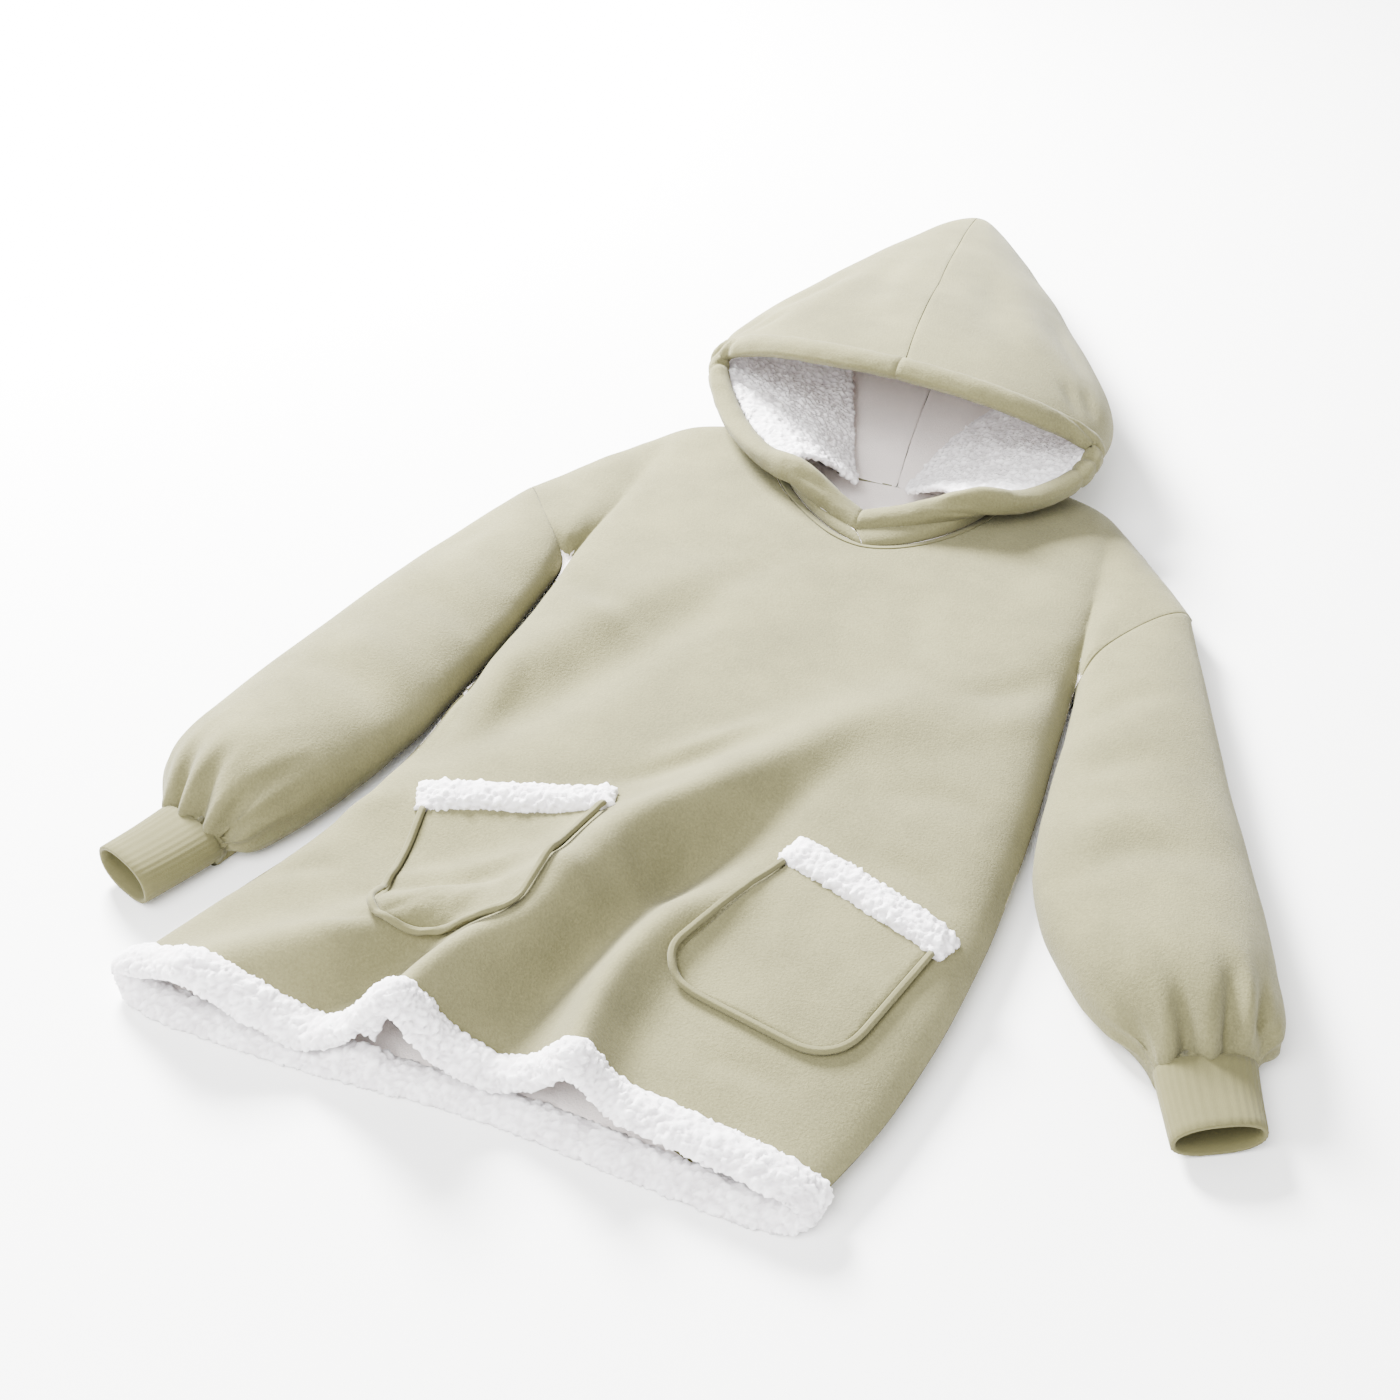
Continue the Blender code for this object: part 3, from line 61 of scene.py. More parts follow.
# Main folds of the front: path rows of x, y, rise, half width, in pattern places
FOLDS = {
    "long_ridge": ((0.250, 0.030, 0.004, 0.045), (0.187, -0.040, 0.014, 0.042),
                   (0.115, -0.168, 0.030, 0.040), (0.052, -0.270, 0.040, 0.036),
                   (0.022, -0.345, 0.036, 0.034)),
    "ridge_to_corner": ((0.000, -0.385, 0.022, 0.034), (-0.062, -0.425, 0.034, 0.033),
                        (-0.130, -0.480, 0.029, 0.034), (-0.212, -0.545, 0.022, 0.036)),
    "crest_over_hem": ((0.068, -0.335, 0.020, 0.032), (0.030, -0.410, 0.036, 0.030),
                       (-0.012, -0.475, 0.050, 0.030), (-0.034, -0.560, 0.054, 0.029)),
    "small_crest": ((0.160, -0.290, 0.006, 0.024), (0.125, -0.350, 0.020, 0.024),
                    (0.110, -0.420, 0.028, 0.024), (0.112, -0.490, 0.034, 0.024),
                    (0.126, -0.560, 0.034, 0.024)),
    "long_trough": ((0.196, -0.060, -0.004, 0.024), (0.158, -0.150, -0.012, 0.024),
                    (0.120, -0.245, -0.020, 0.026), (0.086, -0.330, -0.024, 0.024),
                    (0.062, -0.410, -0.020, 0.024), (0.052, -0.480, -0.012, 0.022),
                    (0.054, -0.560, -0.008, 0.022)),
    "corner_trough": ((-0.046, -0.455, -0.006, 0.020), (-0.092, -0.510, -0.012, 0.022),
                      (-0.116, -0.560, -0.010, 0.024)),
    "chest_trough": ((-0.176, -0.215, -0.010, 0.032), (-0.106, -0.097, -0.012, 0.034),
                     (-0.039, 0.052, -0.007, 0.036)),
    "chest_ridge": ((-0.196, -0.130, 0.007, 0.030), (-0.140, -0.020, 0.008, 0.034),
                    (-0.070, 0.120, 0.005, 0.038)),
    "pocket_hollow": ((-0.160, -0.350, -0.006, 0.040), (-0.075, -0.345, -0.008, 0.045)),
}

# Soft creases of each piece: height (below 0 for a trough), half width, then path places
CREASES = {
    "body_front": (
        (0.0060, 0.012, (-0.120, -0.392), (-0.070, -0.360), (-0.015, -0.318)),
        (-0.0065, 0.010, (-0.135, -0.415), (-0.080, -0.388), (-0.020, -0.345)),
        (-0.0060, 0.012, (-0.160, -0.470), (-0.100, -0.455), (-0.060, -0.430)),
        (0.0050, 0.014, (0.010, -0.180), (0.060, -0.120), (0.120, -0.050)),
        (-0.0050, 0.013, (-0.010, -0.215), (0.040, -0.165), (0.095, -0.110)),
        (-0.0045, 0.016, (-0.196, 0.100), (-0.150, 0.060), (-0.095, 0.034)),
        (-0.0055, 0.014, (-0.215, -0.060), (-0.190, -0.150), (-0.195, -0.240)),
        (0.0050, 0.016, (-0.185, -0.030), (-0.160, -0.120), (-0.160, -0.210)),
        (0.0035, 0.018, (-0.190, 0.060), (-0.140, 0.028), (-0.080, 0.010)),
        (-0.0040, 0.017, (0.335, 0.110), (0.290, 0.060), (0.235, 0.030)),
        (0.0030, 0.020, (0.345, 0.060), (0.300, 0.010), (0.250, -0.030)),
        (-0.0030, 0.022, (0.020, 0.200), (-0.020, 0.130), (-0.036, 0.050)),
        (-0.0025, 0.020, (0.140, 0.210), (0.180, 0.140), (0.200, 0.060)),
        (-0.0035, 0.016, (0.345, -0.250), (0.300, -0.215), (0.250, -0.200)),
        (-0.0030, 0.018, (0.340, -0.120), (0.280, -0.110), (0.225, -0.130)),
        (0.0030, 0.016, (-0.230, -0.330), (-0.190, -0.300), (-0.160, -0.290)),
        (-0.0035, 0.014, (-0.250, -0.430), (-0.200, -0.400), (-0.165, -0.395)),
        (-0.0030, 0.018, (0.040, -0.150), (-0.010, -0.200), (-0.070, -0.240)),
        (-0.0028, 0.015, (0.190, -0.480), (0.240, -0.470), (0.300, -0.480)),
    ),
    "body_back": (
        (-0.0040, 0.020, (-0.150, 0.080), (-0.020, 0.040), (0.120, 0.060)),
        (-0.0030, 0.022, (0.250, -0.100), (0.180, -0.220), (0.160, -0.360)),
        (-0.0030, 0.020, (-0.140, -0.150), (-0.090, -0.280), (-0.100, -0.400)),
        (-0.0035, 0.018, (0.010, -0.180), (0.030, -0.300), (0.000, -0.420)),
    ),
    "sleeve_right": (
        (-0.0050, 0.020, (-0.225, -0.215), (-0.290, -0.180), (-0.350, -0.175)),
        (0.0040, 0.022, (-0.222, -0.170), (-0.280, -0.135), (-0.340, -0.120)),
        (-0.0040, 0.020, (-0.215, -0.060), (-0.270, -0.030), (-0.325, -0.020)),
        (-0.0035, 0.018, (-0.212, 0.030), (-0.260, 0.060), (-0.300, 0.100)),
        (-0.0030, 0.020, (-0.300, 0.180), (-0.310, 0.110), (-0.325, 0.040)),
    ),
    "sleeve_left": (
        (-0.0050, 0.020, (0.400, -0.200), (0.460, -0.140), (0.530, -0.120)),
        (0.0040, 0.022, (0.385, -0.150), (0.440, -0.095), (0.510, -0.080)),
        (-0.0040, 0.020, (0.372, -0.050), (0.420, -0.010), (0.470, 0.000)),
        (-0.0035, 0.018, (0.366, 0.040), (0.400, 0.080), (0.440, 0.130)),
    ),
    "hood_right": (
        (-0.0045, 0.016, (-0.165, 0.560), (-0.120, 0.640), (-0.095, 0.720)),
        (-0.0040, 0.020, (-0.030, 0.560), (-0.050, 0.680), (-0.045, 0.790)),
        (0.0030, 0.020, (-0.110, 0.540), (-0.090, 0.620), (-0.070, 0.700)),
        (-0.0035, 0.008, (-0.176, 0.520), (-0.160, 0.545), (-0.150, 0.572)),
        (-0.0035, 0.008, (-0.160, 0.512), (-0.140, 0.540), (-0.126, 0.562)),
    ),
    "hood_left": (
        (-0.0045, 0.016, (0.235, 0.560), (0.190, 0.640), (0.150, 0.730)),
        (-0.0040, 0.020, (0.110, 0.560), (0.090, 0.670), (0.060, 0.780)),
        (0.0030, 0.020, (0.180, 0.540), (0.150, 0.620), (0.120, 0.700)),
        (-0.0035, 0.008, (0.262, 0.500), (0.246, 0.526), (0.234, 0.552)),
        (-0.0035, 0.008, (0.246, 0.490), (0.226, 0.518), (0.212, 0.544)),
    ),
    "pocket_right": (
        (-0.0012, 0.012, (-0.110, -0.300), (-0.090, -0.360), (-0.095, -0.430)),
        (0.0012, 0.012, (-0.030, -0.280), (-0.045, -0.350), (-0.030, -0.420)),
    ),
    "pocket_left": (
        (-0.0012, 0.012, (0.290, -0.310), (0.270, -0.360), (0.265, -0.420)),
        (0.0010, 0.014, (0.200, -0.270), (0.215, -0.330), (0.190, -0.400)),
    ),
}

# Short pleats across the rim at its corners: place, way, length, height, half width
PLEATS = {
    "hood_rim_right": (((-0.178, 0.472), (0.75, 0.65), 0.034, -0.0030, 0.0030),
                       ((-0.186, 0.486), (0.90, 0.40), 0.030, -0.0034, 0.0030),
                       ((-0.188, 0.503), (1.00, 0.10), 0.034, -0.0028, 0.0028),
                       ((-0.184, 0.520), (0.95, -0.25), 0.030, -0.0032, 0.0030)),
    "hood_rim_left": (((0.256, 0.428), (-0.80, 0.60), 0.034, -0.0030, 0.0030),
                      ((0.266, 0.444), (-0.95, 0.30), 0.030, -0.0034, 0.0030),
                      ((0.268, 0.462), (-1.00, 0.00), 0.036, -0.0028, 0.0028),
                      ((0.264, 0.480), (-0.90, -0.35), 0.030, -0.0032, 0.0030)),
}

# Gathers at the sleeve ends: the seam's two ends, the way up the sleeve, then rows of
# share along the seam, length, height and half width
GATHERS = {
    "sleeve_right": ((-0.372, -0.372), (-0.250, -0.424), (0.16, 0.98),
                     ((0.03, 0.070, 0.0060, 0.008), (0.13, 0.085, -0.0085, 0.006),
                      (0.24, 0.110, 0.0080, 0.009), (0.36, 0.095, -0.0100, 0.007),
                      (0.48, 0.075, 0.0070, 0.008), (0.58, 0.120, -0.0090, 0.007),
                      (0.70, 0.085, 0.0075, 0.008), (0.80, 0.100, -0.0080, 0.006),
                      (0.91, 0.070, 0.0060, 0.008))),
    "sleeve_left": ((0.520, -0.356), (0.622, -0.262), (-0.36, 0.93),
                    ((0.04, 0.075, 0.0060, 0.008), (0.15, 0.095, -0.0085, 0.006),
                     (0.27, 0.080, 0.0070, 0.008), (0.38, 0.115, -0.0095, 0.007),
                     (0.51, 0.090, 0.0080, 0.009), (0.63, 0.075, -0.0090, 0.006),
                     (0.74, 0.105, 0.0070, 0.008), (0.85, 0.085, -0.0080, 0.006),
                     (0.95, 0.065, 0.0055, 0.007))),
}

# Camera: place and target in the frame, and its lens
TARGET = (PATTERN[0], PATTERN[1], 0.0)
CAMERA_OFFSET = (0.6466, -1.5233, 1.2929)
LENS = 54.0
SENSOR = 36.0

# Painted shade: the colour the sherpa is darkened toward in the crevices between its curls
SHERPA_PAINTED_SHADE = (0.60, 0.565, 0.58)
SEED = 7                      # keeps the curls of the pile in the same places
EDGE_ANGLE = math.radians(58)
EDGE_CREASE = 0.55
JOIN_ANGLE = math.radians(40)
HOLLOW_STEP = 0.02
WALL = 0.004
GATHER_FAN = 5.0              # how much the gathers spread apart up the sleeve, per metre
GATHER_BEND = 2.5             # how much they bend, per metre
FRONT_BAND_FROM = 0.0175      # height over the folds from which the hem belongs to the front


def smooth_path(points, count=48):
    """Points on a smooth curve through the rows given, evenly spaced along it."""
    rows = np.asarray(points, dtype=float)
    knots = np.vstack([2 * rows[0] - rows[1], rows, 2 * rows[-1] - rows[-2]])
    dense = []
    for k in range(1, len(knots) - 2):
        a, b, c, d = knots[k - 1:k + 3]
        for t in np.linspace(0.0, 1.0, 16, endpoint=False):
            dense.append(0.5 * (2 * b + (c - a) * t + (2 * a - 5 * b + 4 * c - d) * t ** 2
                                + (3 * b - a - 3 * c + d) * t ** 3))
    dense = np.array(dense + [rows[-1]])
    run = np.concatenate([[0.0], np.cumsum(np.linalg.norm(np.diff(dense, axis=0), axis=1))])
    shares = np.linspace(0.0, run[-1], count)
    return np.column_stack([np.interp(shares, run, dense[:, k]) for k in range(rows.shape[1])])


def nearest(line, x, y):
    """Distance from places to a line in plan, and the index of the nearest place on it."""
    best = np.full(x.shape, 1e9)
    where = np.zeros(x.shape)
    for k in range(len(line) - 1):
        ax, ay = line[k][:2]
        bx, by = line[k + 1][:2]
        length = max((bx - ax) ** 2 + (by - ay) ** 2, 1e-12)
        t = np.clip(((x - ax) * (bx - ax) + (y - ay) * (by - ay)) / length, 0, 1)
        gap = np.hypot(x - ax - t * (bx - ax), y - ay - t * (by - ay))
        closer = gap < best
        best = np.where(closer, gap, best)
        where = np.where(closer, k + t, where)
    return best, where


def fold_rise(co):
    """Height that the main folds add to the front, at places in the frame."""
    x, y = co[:, 0] - PATTERN[0], co[:, 1] - PATTERN[1]
    total = np.zeros(len(co))
    for rows in FOLDS.values():
        line = smooth_path(rows, 40)
        gap, where = nearest(line, x, y)
        steps = np.arange(len(line))
        rise = np.interp(where, steps, line[:, 2])
        width = np.interp(where, steps, line[:, 3])
        total += rise * np.exp(-(gap / width) ** 2)
    return total


def crease_rise(name, co):
    """Height that a piece's soft creases add, at places in the frame."""
    x, y = co[:, 0] - PATTERN[0], co[:, 1] - PATTERN[1]
    total = np.zeros(len(co))
    for height, width, *path in CREASES.get(name, ()):
        line = smooth_path(path, 20)
        gap, where = nearest(line, x, y)
        along = np.sin(np.pi * np.clip(where / (len(line) - 1), 0.06, 0.94))
        total += height * along * np.exp(-(gap / width) ** 2)
    return total


def gather_rise(name, co):
    """Height that the gathers at a sleeve's end add: full at the seam, then fading."""
    total = np.zeros(len(co))
    if name not in GATHERS:
        return total
    first, last, way, rows = GATHERS[name]
    first, last, way = np.array(first), np.array(last), np.array(way)
    flat = co[:, :2] - np.array(PATTERN)
    middle = (first + last) / 2
    for k, (share, length, height, width) in enumerate(rows):
        start = first + (last - first) * share
        fan = way + (start - middle) * GATHER_FAN
        fan /= np.linalg.norm(fan)
        run = (flat - start) @ fan
        off = (flat - start) @ np.array((-fan[1], fan[0]))
        off = off - GATHER_BEND * math.sin(2.3 * k) * np.clip(run, 0, None) ** 2
        fade = np.clip(1 - run / length, 0, 1) ** 1.3 * np.clip(1 + run / 0.012, 0, 1)
        spread = width * (1 + 0.8 * np.clip(run / length, 0, 1))
        total += height * fade * np.exp(-(off / spread) ** 2)
    return total


def pleat_rise(name, co):
    """Height that the short pleats of a rim add."""
    total = np.zeros(len(co))
    flat = co[:, :2] - np.array(PATTERN)
    for place, way, length, height, width in PLEATS.get(name, ()):
        way = np.array(way) / np.hypot(*way)
        run = (flat - np.array(place)) @ way / length
        off = (flat - np.array(place)) @ np.array((-way[1], way[0])) / width
        total += height * np.exp(-run ** 4) * np.exp(-off ** 2)
    return total


def read(mesh):
    """A mesh's points and their directions."""
    co = np.empty(len(mesh.vertices) * 3)
    mesh.vertices.foreach_get("co", co)
    normal = np.empty(len(mesh.vertices) * 3)
    mesh.vertex_normals.foreach_get("vector", normal)
    return co.reshape(-1, 3), normal.reshape(-1, 3)


def write(mesh, co):
    """Put a mesh's points in new places."""
    mesh.vertices.foreach_set("co", np.asarray(co).reshape(-1))
    mesh.update()


def solid_copy(node):
    """A bmesh of a solid, with its flat pairs of triangles joined."""
    bm = bmesh.new()
    bm.from_mesh(node.data)
    bm.transform(node.matrix_world)
    bmesh.ops.remove_doubles(bm, verts=bm.verts, dist=1e-5)
    bmesh.ops.join_triangles(bm, faces=bm.faces, angle_face_threshold=JOIN_ANGLE,
                             angle_shape_threshold=math.pi)
    return bm


def front_part(co):
    """Which points of the hem belong to the front, where the folds lift it."""
    return co[:, 2] - fold_rise(co) > FRONT_BAND_FROM


def fine_copy(name, levels, voxel=0.0, folded=None):
    """A smooth, fine copy of a solid; folded(co) says which points the folds lift."""
    bm = solid_copy(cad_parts[name])
    crease = bm.edges.layers.float.new("crease_edge")
    for edge in bm.edges:
        if len(edge.link_faces) == 2 and edge.calc_face_angle(0.0) > EDGE_ANGLE:
            edge[crease] = EDGE_CREASE
    mesh = bpy.data.meshes.new(name + "_cloth")
    bm.to_mesh(mesh)
    bm.free()
    if folded:
        co, _ = read(mesh)
        lifted = folded(co)
        co[:, 2] -= np.where(lifted, fold_rise(co), 0.0)
        marks = mesh.attributes.new("lifted", "FLOAT", "POINT")
        marks.data.foreach_set("value", lifted.astype(float))
        write(mesh, co)
    piece = bpy.data.objects.new(name + "_cloth", mesh)
    bpy.context.scene.collection.objects.link(piece)
    soften = piece.modifiers.new("Soften", "SUBSURF")
    soften.levels = levels
    soften.render_levels = levels
    graph = bpy.context.evaluated_depsgraph_get()
    fine = bpy.data.meshes.new_from_object(piece.evaluated_get(graph))
    piece.modifiers.clear()
    piece.data = fine
    if folded:
        co, _ = read(fine)
        share = np.empty(len(co))
        fine.attributes["lifted"].data.foreach_get("value", share)
        co[:, 2] += fold_rise(co) * np.clip(share, 0.0, 1.0)
        write(fine, co)
        fine.attributes.remove(fine.attributes["lifted"])
    if voxel:
        even = piece.modifiers.new("Even", "REMESH")
        even.mode = "VOXEL"
        even.voxel_size = voxel
        graph = bpy.context.evaluated_depsgraph_get()
        fine = bpy.data.meshes.new_from_object(piece.evaluated_get(graph))
        piece.modifiers.clear()
        piece.data = fine
    fine.shade_smooth()
    return piece


def outward(co, normal, axis):
    """1 on a piece's outside and -1 on its inside, from a line of axis points inside it."""
    rows = np.asarray(axis, dtype=float)
    line = smooth_path(rows, 30)
    gap = ((co[:, None, :] - line[None]) ** 2).sum(axis=2)
    away = co - line[gap.argmin(axis=1)]
    return np.where((away * normal).sum(axis=1) >= 0, 1.0, -1.0)


def body_hollow():
    """Places in the middle of the hollow between the front and the back."""
    trees = []
    for name in ("body_front", "body_back"):
        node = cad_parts[name]
        points = [node.matrix_world @ v.co for v in node.data.vertices]
        trees.append(BVHTree.FromPolygons(points, [tuple(f.vertices) for f in node.data.polygons]))
    front, back = trees
    up, down = Vector((0.0, 0.0, 1.0)), Vector((0.0, 0.0, -1.0))
    middle = []
    for x in np.arange(-0.42, 0.33, HOLLOW_STEP):
        for y in np.arange(-0.80, 0.26, HOLLOW_STEP):
            top = front.ray_cast(Vector((x, y, 0.5)), down)[0]
            bottom = back.ray_cast(Vector((x, y, -0.5)), up)[0]
            if top and bottom and top.z - bottom.z > 2.5 * WALL:
                middle.append(Vector((x, y, (top.z + bottom.z) / 2)))
    tree = KDTree(len(middle))
    for k, place in enumerate(middle):
        tree.insert(place, k)
    tree.balance()
    return tree


def away_from(hollow, co, normal):
    """1 where a wall's surface looks away from the hollow, and -1 where it looks into it."""
    side = np.ones(len(co))
    for k, point in enumerate(co):
        place = hollow.find(point)[0]
        if (point - np.array(place)) @ normal[k] < 0:
            side[k] = -1.0
    return side


def soft_noise(co, size, height):
    """Small uneven swellings of the cloth."""
    return np.array([noise.noise(Vector(p) / size) for p in co]) * height


def wear(piece, name, material):
    """Finish a piece: give it its material, hang it on the root body and hide the solid it stands
    for.
    """
    if not piece.data.materials:
        piece.data.materials.append(material)
    else:
        piece.data.materials[0] = material
    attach(piece, "root")
    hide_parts(name)


def line_inside(piece, way, inner):
    """Give the faces on a piece's inside the lining's finish."""
    mesh = piece.data
    co, normal = read(mesh)
    side = way(co, normal)
    mesh.materials.clear()
    mesh.materials.append(inner)
    mesh.materials.append(inner)
    for face in mesh.polygons:
        face.material_index = 1 if side[list(face.vertices)].mean() < -0.4 else 0


def plump(piece, amount):
    """Pad a piece outward along its own directions, without going under the floor."""
    co, normal = read(piece.data)
    moved = co + normal * amount
    moved[:, 2] = np.maximum(moved[:, 2], 0.0)
    write(piece.data, moved)


# Axis lines inside the tube-like pieces, in pattern places
AXES = {
    "sleeve_right": ((-0.268, 0.150, 0.030), (-0.285, -0.020, 0.034), (-0.305, -0.190, 0.038),
                     (-0.326, -0.300, 0.042), (-0.340, -0.385, 0.026)),
    "sleeve_left": ((0.395, 0.170, 0.030), (0.436, 0.000, 0.034), (0.480, -0.140, 0.038),
                    (0.536, -0.245, 0.042), (0.572, -0.310, 0.022)),
    "hood": ((0.055, 0.470, 0.070), (0.037, 0.548, 0.075), (0.018, 0.695, 0.070),
             (-0.003, 0.845, 0.060), (-0.024, 1.000, 0.045)),
}


def in_frame(rows):
    """Pattern places as places in the frame."""
    return [(x + PATTERN[0], y + PATTERN[1], z) for x, y, z in rows]


def node_input(node, name, value):
    node.inputs[name].default_value = value


def nap_group():
    """Fine pile: a mask that varies over the cloth, and a height for bumps."""
    known = bpy.data.node_groups.get("Nap")
    if known:
        return known
    group = bpy.data.node_groups.new("Nap", "ShaderNodeTree")
    for label, kind, value in (("Patch Size", "NodeSocketFloat", 14.0),
                               ("Pile Size", "NodeSocketFloat", 900.0)):
        socket = group.interface.new_socket(label, in_out="INPUT", socket_type=kind)
        socket.default_value = value
    group.interface.new_socket("Mask", in_out="OUTPUT", socket_type="NodeSocketFloat")
    group.interface.new_socket("Height", in_out="OUTPUT", socket_type="NodeSocketFloat")
    nodes, links = group.nodes, group.links
    inside = nodes.new("NodeGroupInput")
    outside = nodes.new("NodeGroupOutput")
    place = nodes.new("ShaderNodeTexCoord")
    patches = nodes.new("ShaderNodeTexNoise")
    patches.inputs["Detail"].default_value = 5.0
    patches.inputs["Roughness"].default_value = 0.62
    pile = nodes.new("ShaderNodeTexNoise")
    pile.inputs["Detail"].default_value = 3.0
    pile.inputs["Roughness"].default_value = 0.7
    links.new(place.outputs["Object"], patches.inputs["Vector"])
    links.new(place.outputs["Object"], pile.inputs["Vector"])
    links.new(inside.outputs["Patch Size"], patches.inputs["Scale"])
    links.new(inside.outputs["Pile Size"], pile.inputs["Scale"])
    blend = nodes.new("ShaderNodeMath")
    blend.operation = "MULTIPLY_ADD"
    blend.inputs[1].default_value = 0.5
    links.new(pile.outputs["Fac"], blend.inputs[0])
    soft = nodes.new("ShaderNodeMath")
    soft.operation = "MULTIPLY"
    soft.inputs[1].default_value = 0.5
    links.new(patches.outputs["Fac"], soft.inputs[0])
    links.new(soft.outputs[0], blend.inputs[2])
    links.new(blend.outputs[0], outside.inputs["Mask"])
    links.new(pile.outputs["Fac"], outside.inputs["Height"])
    return group


def cloth(name, low, high, roughness, patch, pile, bump, sheen, painted_shade=None):
    """A cloth finish between two colours, with its pile as a bump and, where a shade colour is given,
    painted shade in the crevices of the pile.
    """
    known = bpy.data.materials.get(name)
    if known:
        return known
    made = bpy.data.materials.new(name)
    made.use_nodes = True
    nodes, links = made.node_tree.nodes, made.node_tree.links
    shader = nodes["Principled BSDF"]
    node_input(shader, "Roughness", roughness)
    node_input(shader, "Specular IOR Level", 0.2)
    node_input(shader, "Sheen Weight", sheen)
    node_input(shader, "Sheen Roughness", 0.5)
    nap = nodes.new("ShaderNodeGroup")
    nap.node_tree = nap_group()
    node_input(nap, "Patch Size", patch)
    node_input(nap, "Pile Size", pile)
    ramp = nodes.new("ShaderNodeValToRGB")
    ramp.color_ramp.elements[0].position = 0.38
    ramp.color_ramp.elements[1].position = 0.62
    ramp.color_ramp.elements[0].color = (*low, 1.0)
    ramp.color_ramp.elements[1].color = (*high, 1.0)
    links.new(nap.outputs["Mask"], ramp.inputs["Fac"])
    # Painted shade in the crevices of the pile: where the mask is low, the colour is mixed toward the
    # shade colour
    if painted_shade:
        crevice_mix = nodes.new("ShaderNodeAttribute")
        crevice_mix.attribute_name = "pile_shade_mix"
        mix = nodes.new("ShaderNodeMix")
        mix.data_type = "RGBA"
        mix.inputs[6].default_value = (*painted_shade, 1.0)
        links.new(crevice_mix.outputs["Fac"], mix.inputs[0])
        links.new(ramp.outputs["Color"], mix.inputs[7])
        links.new(mix.outputs[2], shader.inputs["Base Color"])
    else:
        links.new(ramp.outputs["Color"], shader.inputs["Base Color"])
    height = nodes.new("ShaderNodeBump")
    node_input(height, "Strength", bump)
    node_input(height, "Distance", 0.001)
    links.new(nap.outputs["Height"], height.inputs["Height"])
    links.new(height.outputs["Normal"], shader.inputs["Normal"])
    return made


def shades(colour, spread):
    """A darker and a lighter shade of a colour."""
    return tuple(c * (1 - spread) for c in colour), tuple(min(c * (1 + spread), 0.95) for c in colour)


def settings():
    """The user's sizes and colours."""
    return bpy.context.scene.hoodie


def fleece():
    low, high = shades(settings().fleece_colour, 0.19)
    return cloth("brushed_nap", low, high, 0.95, 11.0, 430.0, 0.90, 0.08)


def rib_knit():
    low, high = shades(settings().rib_colour, 0.06)
    return cloth("knit_ribs", low, high, 0.92, 30.0, 900.0, 0.40, 0.05)


def sherpa():
    low, high = shades(settings().sherpa_colour, 0.025)
    return cloth("curly_pile", low, high, 1.0, 60.0, 650.0, 0.65, 0.10, SHERPA_PAINTED_SHADE)


def lining():
    low, high = shades(settings().lining_colour, 0.03)
    return cloth("plush_inside", low, high, 1.0, 40.0, 600.0, 0.80, 0.10)


def binding():
    low, high = shades(settings().binding_colour, 0.05)
    return cloth("bound_edge", low, high, 0.94, 20.0, 500.0, 0.50, 0.08)


class HoodieSettings(bpy.types.PropertyGroup):
    """Sizes and colours of the hoodie."""

    fleece_colour: FloatVectorProperty(name="Fleece", description="Colour of the fleece",
                                       subtype="COLOR", default=(0.134, 0.125, 0.060),
                                       min=0.0, max=1.0)
    rib_colour: FloatVectorProperty(name="Rib knit", description="Colour of the cuffs",
                                    subtype="COLOR", default=(0.104, 0.096, 0.041),
                                    min=0.0, max=1.0)
    sherpa_colour: FloatVectorProperty(name="Sherpa", description="Colour of the curly pile",
                                       subtype="COLOR", default=(0.900, 0.885, 0.895),
                                       min=0.0, max=1.0)
    lining_colour: FloatVectorProperty(name="Lining", description="Colour of the plush lining",
                                       subtype="COLOR", default=(0.780, 0.720, 0.690),
                                       min=0.0, max=1.0)
    binding_colour: FloatVectorProperty(name="Binding", description="Colour of the bindings",
                                        subtype="COLOR", default=(0.122, 0.114, 0.054),
                                        min=0.0, max=1.0)
    tuft_size: FloatProperty(name="Tuft size", description="Width of a curl of the sherpa",
                             subtype="DISTANCE", unit="LENGTH", default=0.0085, min=0.003)
    tuft_height: FloatProperty(name="Tuft height", description="Height of a curl of the sherpa",
                               subtype="DISTANCE", unit="LENGTH", default=0.0046, min=0.0)
    swell: FloatProperty(name="Swell", description="Height of the cloth's small swellings",
                         subtype="DISTANCE", unit="LENGTH", default=0.0016, min=0.0)


def sculpt(name, piece, way):
    """Add a piece's creases and swellings along the outside's direction."""
    co, normal = read(piece.data)
    rise = crease_rise(name, co) + gather_rise(name, co)
    rise += soft_noise(co, 0.085, settings().swell)
    side = way(co, normal)
    moved = co + normal * (side * rise)[:, None]
    moved[:, 2] = np.maximum(moved[:, 2], np.minimum(co[:, 2], 0.0))
    write(piece.data, moved)


def pleat(piece, name):
    """Press the short pleats into a rim and let its plush edge swell."""
    co, normal = read(piece.data)
    rise = pleat_rise(name, co) + soft_noise(co, 0.018, 0.0009) + soft_noise(co, 0.006, 0.0004)
    write(piece.data, co + normal * rise[:, None])


